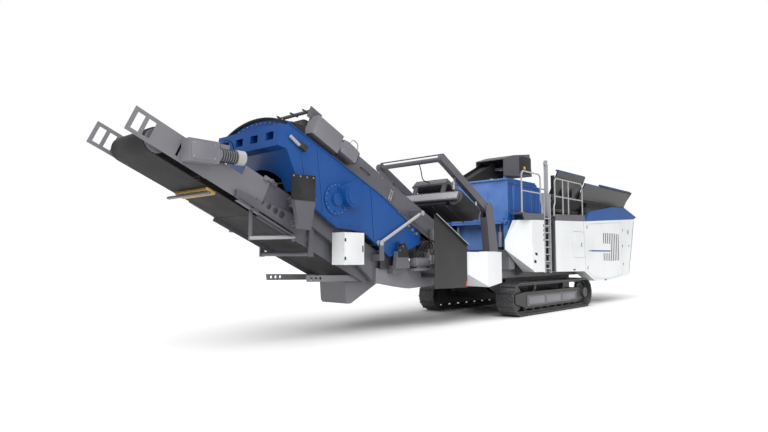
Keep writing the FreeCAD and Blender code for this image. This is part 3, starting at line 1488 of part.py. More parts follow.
def magnet_arms_shape():
    """Two arms with the cross tube, the hanging rods and the pivot eyes."""
    run = unit(ARM_PIVOT, ARM_TIP)
    normal = (run[1], -run[0])
    pieces = []
    for y in ARM_SIDES:
        outline = [
            (ARM_PIVOT[0] - normal[0] * 100, ARM_PIVOT[1] - normal[1] * 100),
            (ARM_PIVOT[0] + normal[0] * 100, ARM_PIVOT[1] + normal[1] * 100),
            (ARM_TIP[0] + normal[0] * 90, ARM_TIP[1] + normal[1] * 90),
            (ARM_TIP[0] - normal[0] * 90, ARM_TIP[1] - normal[1] * 90),
        ]
        pieces.append(plate_y(outline, y - 65, y + 65))
        pieces.append(drum(ARM_TIP[0], ARM_TIP[1], y - 65, y + 65, 95))
        pieces.append(drum(ARM_PIVOT[0], ARM_PIVOT[1], y - 65, y + 65, 110))
    pieces.append(drum(ARM_TIP[0], ARM_TIP[1], ARM_SIDES[0], ARM_SIDES[1], 55))
    pieces.append(drum(ARM_TIP[0] + 40, ARM_TIP[1] + 120, ARM_SIDES[0] - 20, ARM_SIDES[1] + 20, 16))
    for y in ARM_SIDES:
        pieces.append(block(ARM_TIP[0] + 20, ARM_TIP[0] + 60, y - 20, y + 20,
                            ARM_TIP[1] + 60, ARM_TIP[1] + 125))
        for x, low in hanger_feet():
            arm_z = ARM_PIVOT[1] + (x - ARM_PIVOT[0]) * run[1] / run[0]
            pieces.append(rod((x, y, low), (x, y, arm_z), 24))
    arms = fuse(pieces)
    for y in ARM_SIDES:
        arms = arms.cut(drum(ARM_PIVOT[0], ARM_PIVOT[1], y - 70, y + 70, 45.05))
    return arms


def hanger_feet():
    """Where the hanging rods meet the side beams of the magnet, as (x, z)."""
    angle = math.radians(d.magnet_tilt)
    feet = []
    for along in (-485, 485):
        x = MAGNET_X + along * math.cos(angle) + 110 * math.sin(angle)
        z = MAGNET_Z - along * math.sin(angle) + 110 * math.cos(angle)
        feet.append((x, z + 20 * math.sin(angle) + d.fit_gap))
    return feet


def magnet_posts_shape():
    """The two posts that carry the magnet arms."""
    solids = []
    top = ARM_PIVOT[1]
    for y, foot_y in ((ARM_SIDES[0], -d.rail_inner - d.rail_wide), (ARM_SIDES[1], None)):
        x = ARM_PIVOT[0]
        low = d.rail_high + d.fit_gap
        outline = [(x + 60, low), (x + 480, low), (x + 180, top + 60), (x + 60, top + 140),
                   (x - 120, top + 40), (x - 120, top - 120)]
        half = 65 + d.move_gap + 25
        pieces = [plate_y(outline[::-1], y - half, y + half)]
        slot = plate_y([(x - 400, top - 230), (x + 130, top - 230), (x + 130, top + 300),
                        (x - 400, top + 300)], y - 65 - d.move_gap, y + 65 + d.move_gap)
        pieces = [pieces[0].cut(slot)]
        pieces.append(drum(x, top, y - half, y + half, 45))
        if foot_y is not None:
            pieces.append(block(x + 60, x + 480, y - half, foot_y - d.fit_gap, 1120, low + 5))
        solids.append(fuse(pieces))
    return Part.makeCompound(solids)


add("magnet_posts", magnet_posts_shape())
add("magnet_arms", magnet_arms_shape())
magnet_place = Placement(Vector(MAGNET_X, 0, MAGNET_Z),
                         Rotation(Vector(0, 1, 0), d.magnet_tilt))
add("magnet_body", magnet_body_shape(), magnet_place)
add("magnet_belt", magnet_belt_shape(), magnet_place)


# Oversize cross conveyor

def cross_conveyor_shape():
    """The short belt that takes the oversize from the screen to the return conveyor."""
    x0, x1 = -2955, -2475
    z = 1780
    low = d.rail_high + d.fit_gap
    y0, y1 = -700, 775
    frame = []
    for a, b in ((x0, x0 + 12), (x1 - 12, x1)):
        frame.append(block(a, b, y0 - 80, y1 + 80, z - 130, z + 110))
    for y in (y0, y1):
        frame.append(Part.makeCylinder(75, x1 - x0 - 60, Vector(x0 + 30, y, z), Vector(1, 0, 0)))
        frame.append(Part.makeCylinder(25, x1 - x0 - 10, Vector(x0 + 5, y, z), Vector(1, 0, 0)))
    for y in (-790, 790):
        frame.append(block(x0, x1, y - 50, y + 50, low, z - 125))
    outer = [block(x0 + 40, x1 - 40, y0, y1, z - 85, z + 85)]
    inner = [block(x0 + 39, x1 - 39, y0, y1, z - 75.3, z + 75.3)]
    for y in (y0, y1):
        outer.append(Part.makeCylinder(85, x1 - x0 - 80, Vector(x0 + 40, y, z), Vector(1, 0, 0)))
        inner.append(Part.makeCylinder(75.3, x1 - x0 - 78, Vector(x0 + 39, y, z), Vector(1, 0, 0)))
    return fuse(frame), fuse(outer).cut(fuse(inner))


cross_frame, cross_belt = cross_conveyor_shape()
add("cross_conveyor_frame", cross_frame)
add("cross_conveyor_belt", cross_belt)


# Boxes and guards on the near side

def control_box_shape():
    """The control cabinet, hollow, with its door opening on the near side."""
    x0, x1, y0, y1, z0, z1 = control_box_size()
    shell = block(x0, x1, y0 + 22, y1, z0, z1)
    hollow = block(x0 + 20, x1 - 20, y0 + 21, y1 - 20, z0 + 20, z1 - 20)
    leaves = []
    for z in (z0 + 140, z1 - 160):
        z -= 40 + d.fit_gap
        barrel = Part.makeCylinder(8, 40, Vector(x0 - 9, y0 + 8, z), Vector(0, 0, 1))
        leaf = block(x0 - 9, x0 - 1, y0 + 8, y0 + 40, z, z + 40)
        leaves += [barrel, leaf, block(x0 - 9, x0 + 2, y0 + 30, y0 + 40, z, z + 40)]
    return fuse([shell.cut(hollow)] + leaves)


def control_box_size():
    """Lowest and highest corner of the control cabinet with its door."""
    back = -d.rail_inner - 90 - d.fit_gap
    return -5450, -4930, back - 330, back, 1380, 1980


def control_door_shape():
    """The door of the control cabinet."""
    x0, x1, y0, y1, z0, z1 = control_box_size()
    door = block(x0, x1, y0, y0 + 22 - 5, z0, z1)
    return fuse([door] + [cabinet_knuckle(z, 12) for z in (z0 + 140, z1 - 160)])


def cabinet_knuckle(z, reach):
    """One barrel of the cabinet hinge with a leaf that reaches over the edge."""
    x0, x1, y0, y1, z0, z1 = control_box_size()
    barrel = Part.makeCylinder(8, 40, Vector(x0 - 9, y0 + 8, z), Vector(0, 0, 1))
    return fuse([barrel, block(x0 - 9, x0 + 2, y0 + reach - 10, y0 + reach, z, z + 40)])


def nose_box_shape():
    """The bevelled tank cover ahead of the crawler."""
    outer = -d.rail_inner - d.rail_wide - d.fit_gap
    body = plate_y([(-1730, 1180), (-1100, 820), (-510, 900), (-510, 1640), (-1680, 1640)],
                   -d.half_width, outer)
    bevel = plate_z([(-1800, -1600), (-1150, -1600), (-1150, -1500), (-1800, -1180)], 700, 1700)
    post_notch = block(-700, 0, ARM_SIDES[0] - 110, 0, 700, 1700)
    return body.cut([bevel, post_notch])


def side_guard_shape():
    """The large guard plate with its sloping flange and brackets to the rail."""
    y = -1340
    outline = [(-2990, 850), (-1760, 830), (-1760, 1790), (-2990, 2440)]
    plate = plate_y(outline, y, y + 10)
    flange = plate_y([(-2990, 2430), (-1760, 1780), (-1760, 1792), (-2990, 2442)], y - 60, y + 5)
    pieces = [plate, flange]
    for x in (-2850, -1950):
        pieces.append(block(x, x + 90, y + 5, -d.rail_inner - d.rail_wide - d.fit_gap, 1080, 1170))
    return fuse(pieces)


add("control_box", control_box_shape())
add("control_box_door", control_door_shape())
add("tank_cover", nose_box_shape())
add("side_guard", side_guard_shape())

doc.recompute()
for item in doc.Objects:
    if "Invalid" in item.State or "Error" in item.State:
        raise RuntimeError("%s did not recompute" % item.Label)
for feature in nodes:
    if feature.Shape.isNull() or not feature.Shape.isValid():
        raise RuntimeError("%s has no valid shape" % feature.Label)

os.makedirs("parts", exist_ok=True)
for feature in nodes:
    feature.Shape.exportStep("parts/%s.step" % feature.Label)
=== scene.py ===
"""Looks of a tracked mobile crusher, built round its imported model."""
import json
import math

import bpy
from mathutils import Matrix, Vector


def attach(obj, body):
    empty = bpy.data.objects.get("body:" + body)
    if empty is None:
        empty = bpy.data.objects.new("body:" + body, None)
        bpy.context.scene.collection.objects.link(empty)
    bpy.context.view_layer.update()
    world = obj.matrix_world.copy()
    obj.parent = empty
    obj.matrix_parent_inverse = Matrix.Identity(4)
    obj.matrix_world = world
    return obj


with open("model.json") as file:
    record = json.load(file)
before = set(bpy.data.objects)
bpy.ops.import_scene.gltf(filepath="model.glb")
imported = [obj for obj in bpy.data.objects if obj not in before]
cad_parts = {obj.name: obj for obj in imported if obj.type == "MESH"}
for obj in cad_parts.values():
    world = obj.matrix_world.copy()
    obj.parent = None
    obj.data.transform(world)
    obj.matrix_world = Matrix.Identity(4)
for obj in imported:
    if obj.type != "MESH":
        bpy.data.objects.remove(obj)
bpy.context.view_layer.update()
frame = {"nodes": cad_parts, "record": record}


# Shader arithmetic

class Value:
    """A node's output that takes part in arithmetic."""

    def __init__(self, finish, socket):
        self.finish = finish
        self.socket = socket

    def __add__(self, other):
        return self.finish.calc("ADD", self, other)

    def __radd__(self, other):
        return self.finish.calc("ADD", other, self)

    def __sub__(self, other):
        return self.finish.calc("SUBTRACT", self, other)

    def __rsub__(self, other):
        return self.finish.calc("SUBTRACT", other, self)

    def __mul__(self, other):
        return self.finish.calc("MULTIPLY", self, other)

    def __rmul__(self, other):
        return self.finish.calc("MULTIPLY", other, self)

    def __truediv__(self, other):
        return self.finish.calc("DIVIDE", self, other)

    def clamped(self):
        """The value kept between 0 and 1."""
        return self.finish.calc("MAXIMUM", self.finish.calc("MINIMUM", self, 1.0), 0.0)

    def band(self, low, high):
        """0 below low, 1 above high, and a smooth step between them."""
        return self.finish.node(
            "ShaderNodeMapRange", {"interpolation_type": "SMOOTHSTEP"},
            {"Value": self, "From Min": low, "From Max": high}, "Result")


class Finish:
    """A material that is put together from nodes."""

    def __init__(self, name, metallic=0.0, specular=0.5):
        self.material = bpy.data.materials.new(name)
        self.material.use_nodes = True
        self.tree = self.material.node_tree
        self.shader = self.tree.nodes["Principled BSDF"]
        self.shader.inputs["Metallic"].default_value = metallic
        self.shader.inputs["Specular IOR Level"].default_value = specular
        self.place = self.node("ShaderNodeTexCoord", {}, {}, "Object")

    def feed(self, socket, item):
        """A link for a value, and a plain setting for anything else."""
        if isinstance(item, Value):
            self.tree.links.new(item.socket, socket)
        else:
            socket.default_value = item

    def node(self, kind, settings, sockets, output=0):
        """Adds a node: its settings come first, and then its sockets."""
        node = self.tree.nodes.new(kind)
        for key, setting in settings.items():
            setattr(node, key, setting)
        for key, item in sockets.items():
            self.feed(node.inputs[key], item)
        return Value(self, node.outputs[output])

    def calc(self, operation, one, two):
        """One step of arithmetic."""
        return self.node("ShaderNodeMath", {"operation": operation}, {0: one, 1: two})

    def noise(self, scale, detail=4.0, roughness=0.55, place=None):
        """Cloudy pattern from 0 to 1."""
        return self.node(
            "ShaderNodeTexNoise", {}, {"Vector": place or self.place, "Scale": scale,
                                       "Detail": detail, "Roughness": roughness}, "Fac")

    def stretched(self, x, y, z):
        """Object coordinates scaled along each axis."""
        return self.node("ShaderNodeMapping", {}, {"Vector": self.place, "Scale": (x, y, z)})

    def axis(self, letter):
        """One coordinate of the place on the object."""
        return self.node("ShaderNodeSeparateXYZ", {}, {"Vector": self.place}, letter)

    def facing(self, letter):
        """One coordinate of the surface normal."""
        normal = self.node("ShaderNodeNewGeometry", {}, {}, "Normal")
        return self.node("ShaderNodeSeparateXYZ", {}, {"Vector": normal}, letter)

    def blended(self, one, two, factor):
        """A mix of two colours."""
        node = self.tree.nodes.new("ShaderNodeMix")
        node.data_type = "RGBA"
        self.feed(node.inputs["Factor"], factor)
        self.feed(node.inputs["A"], one)
        self.feed(node.inputs["B"], two)
        return Value(self, node.outputs["Result"])

    def finish(self, color, roughness, height=None, depth=0.001, strength=0.5):
        """Feeds the shader and returns the material."""
        self.feed(self.shader.inputs["Base Color"], color)
        self.feed(self.shader.inputs["Roughness"], roughness)
        if height is not None:
            bump = self.node("ShaderNodeBump", {},
                             {"Strength": strength, "Distance": depth, "Height": height}, "Normal")
            self.feed(self.shader.inputs["Normal"], bump)
        return self.material


DUST = (0.34, 0.33, 0.32, 1.0)


def rgba(red, green, blue):
    """A colour with full cover."""
    return (red, green, blue, 1.0)


def paint(name, color, gloss=0.32, dust=0.05, coat=0.15, front=None):
    """Sprayed paint with a little dust on flat and low places.

    A front colour is a painted highlight: in clouds, it lightens the faces that look along minus X,
    as light and sky reflection would."""
    finish = Finish(name, specular=0.4)
    clouds = finish.noise(0.7, 5.0)
    grain = finish.noise(38.0, 3.0)
    streak = finish.noise(1.0, 4.0, 0.6, finish.stretched(9.0, 9.0, 0.7))
    low = 1.0 - finish.axis("Z").band(0.3, 2.4)
    top = finish.facing("Z").band(0.5, 0.95)
    veil = (low * 0.5 + top * 0.55 + clouds.band(0.45, 0.75) * 0.5
            + streak.band(0.55, 0.8) * 0.35)
    veil = (veil * dust * (0.6 + grain * 0.8)).clamped()
    shade = finish.blended(rgba(*[c * 0.9 for c in color]), rgba(*color), clouds.band(0.3, 0.6))
    if front:
        # Painted highlight: faces that look along minus X turn towards the front colour in clouds.
        painted_highlight = (0.0 - finish.facing("X")).band(0.2, 1.0) * clouds.band(0.2, 0.6)
        shade = finish.blended(shade, rgba(*front), painted_highlight)
    body = finish.blended(shade, DUST, veil)
    finish.shader.inputs["Coat Roughness"].default_value = 0.15
    finish.feed(finish.shader.inputs["Coat Weight"], (1.0 - veil) * coat)
    return finish.finish(body, gloss + veil * 0.9, grain, 0.0006, 0.25)


def worn_steel(name, color, bright, wear=0.5, roughness=0.45):
    """Steel that stone has rubbed bright in streaks along the machine."""
    finish = Finish(name, metallic=0.75)
    rub = finish.noise(1.0, 6.0, 0.65, finish.stretched(1.5, 22.0, 22.0))
    blotch = finish.noise(2.6, 5.0)
    mask = (rub.band(0.42, 0.66) * wear + blotch.band(0.5, 0.7) * 0.25).clamped()
    body = finish.blended(rgba(*color), rgba(*bright), mask)
    return finish.finish(body, roughness + (1.0 - mask) * 0.25, rub, 0.001, 0.3)


def rubber(name, color):
    """Conveyor rubber, dusty grey on the raised grain."""
    finish = Finish(name, specular=0.3)
    grain = finish.noise(55.0, 3.0)
    clouds = finish.noise(1.6, 4.0)
    veil = (clouds.band(0.4, 0.8) * 0.35 + finish.facing("Z").band(0.4, 0.9) * 0.2) * (0.5 + grain)
    body = finish.blended(rgba(*color), rgba(0.075, 0.075, 0.078), veil.clamped())
    return finish.finish(body, 0.62 + grain * 0.2, grain, 0.001, 0.4)


def cast_track(name):
    """Track steel: dark oxide with rubbed edges and dry earth low down."""
    finish = Finish(name, metallic=0.5)
    pits = finish.noise(30.0, 4.0)
    clouds = finish.noise(3.0, 4.0)
    soil = (1.0 - finish.axis("Z").band(0.02, 0.5)) * clouds.band(0.35, 0.7)
    body = finish.blended(rgba(0.06, 0.06, 0.064), rgba(0.22, 0.215, 0.22),
                          pits.band(0.5, 0.75))
    body = finish.blended(body, rgba(0.2, 0.18, 0.15), soil * 0.3)
    return finish.finish(body, 0.5 + soil * 0.35, pits, 0.003, 0.4)


def soft_light(name, color, strength):
    """A lamp lens with ribs."""
    finish = Finish(name)
    ribs = finish.node("ShaderNodeTexWave", {"bands_direction": "X"}, {"Scale": 60.0}, "Fac")
    finish.shader.inputs["Emission Strength"].default_value = strength
    finish.feed(finish.shader.inputs["Emission Color"],
                finish.blended(rgba(*color), rgba(*[c * 0.7 for c in color]), ribs))
    return finish.finish(rgba(*color), 0.12)


BLUE = (0.004, 0.062, 0.25)
PALE_BLUE = (0.06, 0.18, 0.45)
WHITE = (0.7, 0.715, 0.725)

finishes = {
    "blue_paint": paint("blue_paint", BLUE),
    "light_blue_paint": paint("light_blue_paint", PALE_BLUE),
    "white_paint": paint("white_paint", WHITE, 0.3, 0.04),
    "grey_paint": paint("grey_paint", (0.095, 0.095, 0.11), 0.42, 0.08),
    "light_grey_paint": paint("light_grey_paint", (0.36, 0.36, 0.375), 0.36, 0.08),
    "anthracite_paint": paint("anthracite_paint", (0.018, 0.018, 0.019), 0.45, 0.06, 0.1),
    "engine_paint": paint("engine_paint", (0.05, 0.05, 0.05), 0.5, 0.1),
    "track_steel": cast_track("track_steel"),
    "bare_steel": worn_steel("bare_steel", (0.3, 0.3, 0.3), (0.6, 0.6, 0.6), 0.6, 0.3),
    "wear_steel": worn_steel("wear_steel", (0.09, 0.085, 0.08), (0.3, 0.29, 0.28)),
    "belt_rubber": rubber("belt_rubber", (0.014, 0.014, 0.015)),
    "black_rubber": rubber("black_rubber", (0.009, 0.009, 0.01)),
    # Blue paint with a painted highlight: faces looking along minus X lighten towards a paler blue.
    "hood_blue_painted_highlight": paint("hood_blue_painted_highlight", BLUE, front=(0.13, 0.25, 0.6)),
    "mid_grey": paint("mid_grey", (0.17, 0.168, 0.185), 0.38, 0.06),
    "lamp_glass": soft_light("lamp_glass", (0.9, 0.9, 0.82), 0.4),
    "yellow_paint": paint("yellow_paint", (0.75, 0.5, 0.02), 0.35, 0.1),
    "red_paint": paint("red_paint", (0.55, 0.02, 0.02), 0.35, 0.1),
    "brass": worn_steel("brass", (0.42, 0.27, 0.08), (0.62, 0.45, 0.18), 0.4, 0.35),
}


# Nodes whose look in the photo differs from their slot's paint.
SPECIAL = {
    # The crusher's body and hood take the blue with the painted highlight.
    "crusher_body": "hood_blue_painted_highlight", "crusher_hood": "hood_blue_painted_highlight",
    "return_conveyor_frame": "anthracite_paint", "return_hood": "grey_paint",
    "discharge_conveyor_drive": "mid_grey", "fines_drive": "mid_grey",
    "fines_head_frame": "mid_grey", "chassis_frame": "mid_grey", "magnet_body": "grey_paint",
}

for part in frame["record"]["subparts"]:
    cad_node = frame["nodes"][part["node"]]
    cad_node.data.materials.clear()
    cad_node.data.materials.append(finishes[SPECIAL.get(part["node"], part["material_slot"])])


# Modelling helpers. Every piece is shaped in place, so its own origin stays at the centre.

def deselect():
    """Nothing is selected afterwards."""
    if bpy.context.object and bpy.context.object.mode != "OBJECT":
        bpy.ops.object.mode_set(mode="OBJECT")
    bpy.ops.object.select_all(action="DESELECT")


def settle(piece, name, slot):
    """Bakes the placing into the mesh, then names and paints the piece."""
    deselect()
    piece.select_set(True)
    bpy.context.view_layer.objects.active = piece
    bpy.ops.object.transform_apply(location=True, rotation=True, scale=True)
    piece.name = name
    piece.data.name = name
    piece.data.materials.append(finishes[slot])
    return piece


def faces_where(piece, test):
    """Goes into edit mode with the faces selected that pass a test of centre and normal."""
    for face in piece.data.polygons:
        face.select = bool(test(face.center, face.normal))
    bpy.ops.object.mode_set(mode="EDIT")
    bpy.ops.mesh.select_mode(type="FACE")


def soften(piece, width, segments=2):
    """Rounds every edge of a piece a little."""
    faces_where(piece, lambda centre, normal: True)
    bpy.ops.mesh.bevel(offset=width, segments=segments, affect="EDGES")
    bpy.ops.object.mode_set(mode="OBJECT")
    bpy.ops.object.shade_smooth_by_angle(angle=math.radians(32))
    return piece


def slab(name, slot, low, high, edge=0.004, tilt=0.0):
    """A plate or box between two corners with rounded edges, tilted about the Y axis."""
    deselect()
    centre = [(a + b) / 2 for a, b in zip(low, high)]
    size = [b - a for a, b in zip(low, high)]
    bpy.ops.mesh.primitive_cube_add(
        size=1.0, location=centre, scale=size, rotation=(0.0, math.radians(tilt), 0.0))
    return soften(settle(bpy.context.object, name, slot), min(edge, min(size) * 0.3))


def slope(x, z, pitch):
    """A line that rises towards minus X: turns places along and above it into (x, z)."""
    angle = math.radians(pitch)

    def at(along, above):
        return (x - along * math.cos(angle) + above * math.sin(angle),
                z + along * math.sin(angle) + above * math.cos(angle))

    return at


def ramp(name, slot, at, pitch, alongs, aboves, ys, edge=0.004):
    """A plate or box laid on a slope."""
    x, z = at(sum(alongs) / 2, sum(aboves) / 2)
    half = [(alongs[1] - alongs[0]) / 2, (ys[1] - ys[0]) / 2, (aboves[1] - aboves[0]) / 2]
    centre = (x, sum(ys) / 2, z)
    return slab(name, slot, [c - h for c, h in zip(centre, half)],
                [c + h for c, h in zip(centre, half)], edge, pitch)


def bar(name, slot, start, end, radius, sides=20, collar=0.0):
    """A round bar between two points; with a collar its ends are stepped."""
    deselect()
    start, end = Vector(start), Vector(end)
    run = end - start
    bpy.ops.mesh.primitive_cylinder_add(
        vertices=sides, radius=radius, depth=run.length, location=(start + end) / 2,
        rotation=run.to_track_quat("Z", "Y").to_euler())
    piece = settle(bpy.context.object, name, slot)
    along = run.normalized()
    faces_where(piece, lambda centre, normal: abs(normal.dot(along)) > 0.9)
    bpy.ops.mesh.inset(thickness=radius * 0.22)
    if collar:
        bpy.ops.transform.shrink_fatten(value=collar)
    bpy.ops.object.mode_set(mode="OBJECT")
    bpy.ops.object.shade_smooth_by_angle(angle=math.radians(32))
    return piece


def joined(pieces, name):
    """Several pieces as one object."""
    deselect()
    for piece in pieces:
        piece.select_set(True)
    bpy.context.view_layer.objects.active = pieces[0]
    if len(pieces) > 1:
        bpy.ops.object.join()
    pieces[0].name = name
    pieces[0].data.name = name
    return pieces[0]


def mirror_copy(piece, name):
    """A second piece with its own mesh on the other side of the centre line."""
    deselect()
    piece.select_set(True)
    bpy.context.view_layer.objects.active = piece
    bpy.ops.object.duplicate(linked=False)
    other = bpy.context.object
    faces_where(other, lambda centre, normal: True)
    bpy.ops.transform.mirror(constraint_axis=(False, True, False), orient_type="GLOBAL",
                             center_override=(0.0, 0.0, 0.0))
    bpy.ops.mesh.normals_make_consistent(inside=False)
    bpy.ops.object.mode_set(mode="OBJECT")
    other.name = name
    other.data.name = name
    return other


def bolts(name, slot, places, normal, radius=0.014, tall=0.012):
    """Six-sided bolt heads with a raised middle, standing on a surface."""
    out = Vector(normal).normalized()
    heads = []
    for place in places:
        deselect()
        foot = Vector(place)
        bpy.ops.mesh.primitive_cylinder_add(
            vertices=6, radius=radius, depth=tall, location=foot + out * tall / 2,
            rotation=out.to_track_quat("Z", "Y").to_euler())
        head = settle(bpy.context.object, name, slot)
        faces_where(head, lambda centre, face_normal: face_normal.dot(out) > 0.9)
        bpy.ops.mesh.inset(thickness=radius * 0.25)
        bpy.ops.transform.translate(value=tuple(out * tall * 0.35))
        bpy.ops.object.mode_set(mode="OBJECT")
        heads.append(head)
    return joined(heads, name)


def hose(name, slot, points, radius):
    """A bent hose or tube through some points, in short straight lengths."""
    path = [Vector(point) for point in points]
    fine = []
    for index in range(len(path) - 1):
        before, after = path[max(index - 1, 0)], path[min(index + 2, len(path) - 1)]
        for step in range(5):
            fine.append(curve_point(before, path[index], path[index + 1], after, step / 5))
    fine.append(path[-1])
    lengths = []
    for here, there in zip(fine, fine[1:]):
        lap = (there - here).normalized() * radius * 0.3
        lengths.append(bar(name, slot, here - lap, there + lap, radius, 10))
    return joined(lengths, name)


def curve_point(before, start, end, after, share):
    """A point on a smooth curve between start and end."""
    squared, cubed = share * share, share * share * share
    return 0.5 * (2 * start + (end - before) * share
                  + (2 * before - 5 * start + 4 * end - after) * squared
                  + (3 * start - before - 3 * end + after) * cubed)


def on(body, *pieces):
    """The pieces ride on a body."""
    for piece in pieces:
        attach(piece, body)


NEAR = (0.0, -1.0, 0.0)
FRONT = (-1.0, 0.0, 0.0)
UP = (0.0, 0.0, 1.0)


def marks(name, slot, places, half, face, depth, edge, tilt=0.0):
    """Small plates on a near-side face: half is (x, z), and depth is how far they stand out."""
    return [slab(name, slot, (x - half[0], face - depth, z - half[1]),
                 (x + half[0], face + 0.001, z + half[1]), edge, tilt) for x, z in places]


def around(x, z, radius, count):
    """Places on a circle in the plane of the sides."""
    return [(x + radius * math.cos(math.tau * index / count),
             z + radius * math.sin(math.tau * index / count)) for index in range(count)]


# Side housings

HOUSING_FACE = -1.4905


def door_trim():
    """Stripe, squares, grille backing and latches of the large door."""
    y = HOUSING_FACE
    pieces = [slab("stripe", "blue_paint", (5.0, y - 0.002, 1.69), (6.63, y + 0.001, 1.735), 0.001)]
    for index in range(5):
        x = 4.79 + index * 0.045
        pieces.append(slab("square", "blue_paint", (x, y - 0.002, 1.695),
                           (x + 0.03, y + 0.001, 1.725), 0.001))
    pieces.append(slab("grille_mesh", "black_rubber", (5.97, -1.487, 1.37), (7.44, -1.471, 2.33)))
    pieces += marks("door_latch", "anthracite_paint", ((4.70, 2.45), (4.70, 1.18)),
                    (0.02, 0.05), y, 0.006, 0.004)
    return pieces


def housing_trim():
    """Latches, vent, seam, handles, sockets and corner strut that both housings have."""
    y = HOUSING_FACE
    latches = ((7.79, 2.46), (7.76, 1.90), (7.79, 1.27), (8.39, 1.91))
    pieces = marks("latch", "anthracite_paint", latches, (0.016, 0.045), y, 0.007, 0.004)
    for radius, out in ((0.085, 0.004), (0.055, 0.007), (0.03, 0.009)):
        pieces.append(bar("vent", "light_grey_paint", (8.33, y, 2.41), (8.33, y - out, 2.41),
                          radius, 32))
    pieces.append(slab("panel_seam", "anthracite_paint", (4.486, y - 0.001, 1.10),
                       (4.494, y + 0.001, 2.60), 0.0005, -3.7))
    pieces += marks("edge_handle", "anthracite_paint", ((3.70, 1.14), (6.12, 0.77)),
                    (0.07, 0.02), y, 0.008, 0.006)
    pieces += marks("socket", "black_rubber", ((1.31, 1.60), (1.24, 1.40)),
                    (0.06, 0.035), y, 0.007, 0.01, 12)
    pieces.append(bar("corner_strut", "anthracite_paint", (8.985, -1.478, 2.84),
                      (8.33, -1.478, 0.93), 0.019))
    return pieces


def ladder_bay():
    """The slotted strip and the cable channel beside the ladder."""
    pieces = [slab("step_strip", "white_paint", (1.70, -1.4985, 1.87), (1.78, -1.489, 2.47))]
    for index in range(4):
        z = 1.95 + index * 0.13
        pieces.append(slab("strip_slot", "black_rubber", (1.722, -1.4995, z),
                           (1.758, -1.497, z + 0.08)))
    pieces.append(slab("cable_channel", "anthracite_paint", (2.39, -1.476, 1.12),
                       (2.50, -1.25, 2.62), 0.01))
    return pieces


def dress_housings():
    """Door and housing trim on both sides, and the ladder's bay on the near one."""
    door = joined(door_trim(), "door_details_near")
    on("large_door_near", door)
    on("large_door_far", mirror_copy(door, "door_details_far"))
    plain = joined(housing_trim(), "housing_details_near")
    on("base", mirror_copy(plain, "housing_details_far"))
    on("base", joined([plain] + ladder_bay(), "housing_details_near"))
    grip = slab("door_grip", "anthracite_paint", (4.243, -1.489, 1.83), (4.297, -1.479, 1.95))
    on("small_door_near", grip)
    on("small_door_far", mirror_copy(grip, "door_grip_far"))
    shade = slab("cowl_step", "light_blue_paint", (3.62, -1.489, 2.60), (4.57, -1.40, 2.675),
                 0.006, -3.4)
    on("base", shade, mirror_copy(shade, "cowl_step_far"))


# Hopper, crusher and walkway

RIM_EDGE = 0.005


def dress_hopper():
    """Blue rims along the upper edges and ribs on the fixed front walls."""
    near = joined([
        slab("rim", "blue_paint", (5.88, -1.485, 3.868), (8.70, -1.43, 3.90), RIM_EDGE),
        slab("rim", "blue_paint", (4.70, -1.475, 3.808), (5.90, -1.42, 3.84), RIM_EDGE),
    ], "hopper_rim_near")
    on("wall_near", near)
    on("wall_far", mirror_copy(near, "hopper_rim_far"))
    on("base", slab("hopper_rim_front", "blue_paint", (2.755, -1.475, 4.0),
                    (4.685, -1.405, 4.045), RIM_EDGE))
    on("wall_rear", slab("hopper_rim_rear", "blue_paint", (8.955, -1.44, 3.868),
                         (9.03, 1.44, 3.90), RIM_EDGE))
    ribs = [slab("rib", "anthracite_paint", (x, -1.33, 3.35), (x + 0.05, -1.22, 3.90), 0.008)
            for x in (2.80, 3.40, 4.00, 4.60)]
    on("base", joined(ribs, "hopper_ribs"))


BAY_X = 0.64
HATCH_X = 0.484


def crusher_bay():
    """The hood's two cylinders in their bay, with a yellow and a white plate."""
    pieces = []
    for y in (-0.80, 0.56):
        pieces.append(bar("barrel", "light_grey_paint", (BAY_X, y, 1.78), (BAY_X, y, 2.18), 0.05,
                          24, 0.006))
        pieces.append(bar("piston", "bare_steel", (BAY_X, y, 2.18), (BAY_X, y, 2.38), 0.027))
        pieces.append(slab("foot", "anthracite_paint", (BAY_X - 0.06, y - 0.07, 1.72),
                           (BAY_X + 0.06, y + 0.07, 1.79), 0.008))
    for name, slot, y0, y1 in (("yellow_plate", "yellow_paint", -0.42, -0.30),
                               ("white_plate", "white_paint", -0.27, -0.17)):
        pieces.append(slab(name, slot, (0.745, y0, 2.02), (0.756, y1, 2.17), 0.002))
    return pieces


def dress_crusher():
    """The bay, and the hood's flange bolts, hatch, side ribs and side flange."""
    on("base", joined(crusher_bay(), "crusher_bay"))
    flange = [(0.456, -1.05 + 0.19 * index, 3.577) for index in range(11)]
    hatch = [(0.483, y, z) for y in (-0.48, -0.135, 0.21) for z in (2.83, 3.25)]
    handle = [(HATCH_X, -0.24, 3.04), (0.44, -0.23, 3.04), (0.44, -0.05, 3.04),
              (HATCH_X, -0.04, 3.04)]
    hood = [bolts("hood_bolts", "bare_steel", flange, FRONT, 0.016),
            bolts("hatch_bolts", "bare_steel", hatch, FRONT),
            hose("hatch_handle", "light_grey_paint", handle, 0.01)]
    # Side ribs and side flange take the hood's blue with its painted highlight.
    for x in (0.75, 1.25, 1.75, 2.25):
        hood.append(slab("side_rib", "hood_blue_painted_highlight", (x, -1.145, 2.52), (x + 0.03, -1.118, 3.46)))
    hood.append(slab("side_flange", "hood_blue_painted_highlight", (0.46, -1.15, 3.46), (2.66, -1.118, 3.485)))
    on("hood", joined(hood, "hood_details"))


LADDER_BAY = (1.72, 2.50)
POST_PLACES = (0.64, 1.77, 2.51, 3.10, 3.48, 4.48)
LAMP_X, LAMP_Y, LAMP_Z = 2.55, -1.2, 4.217


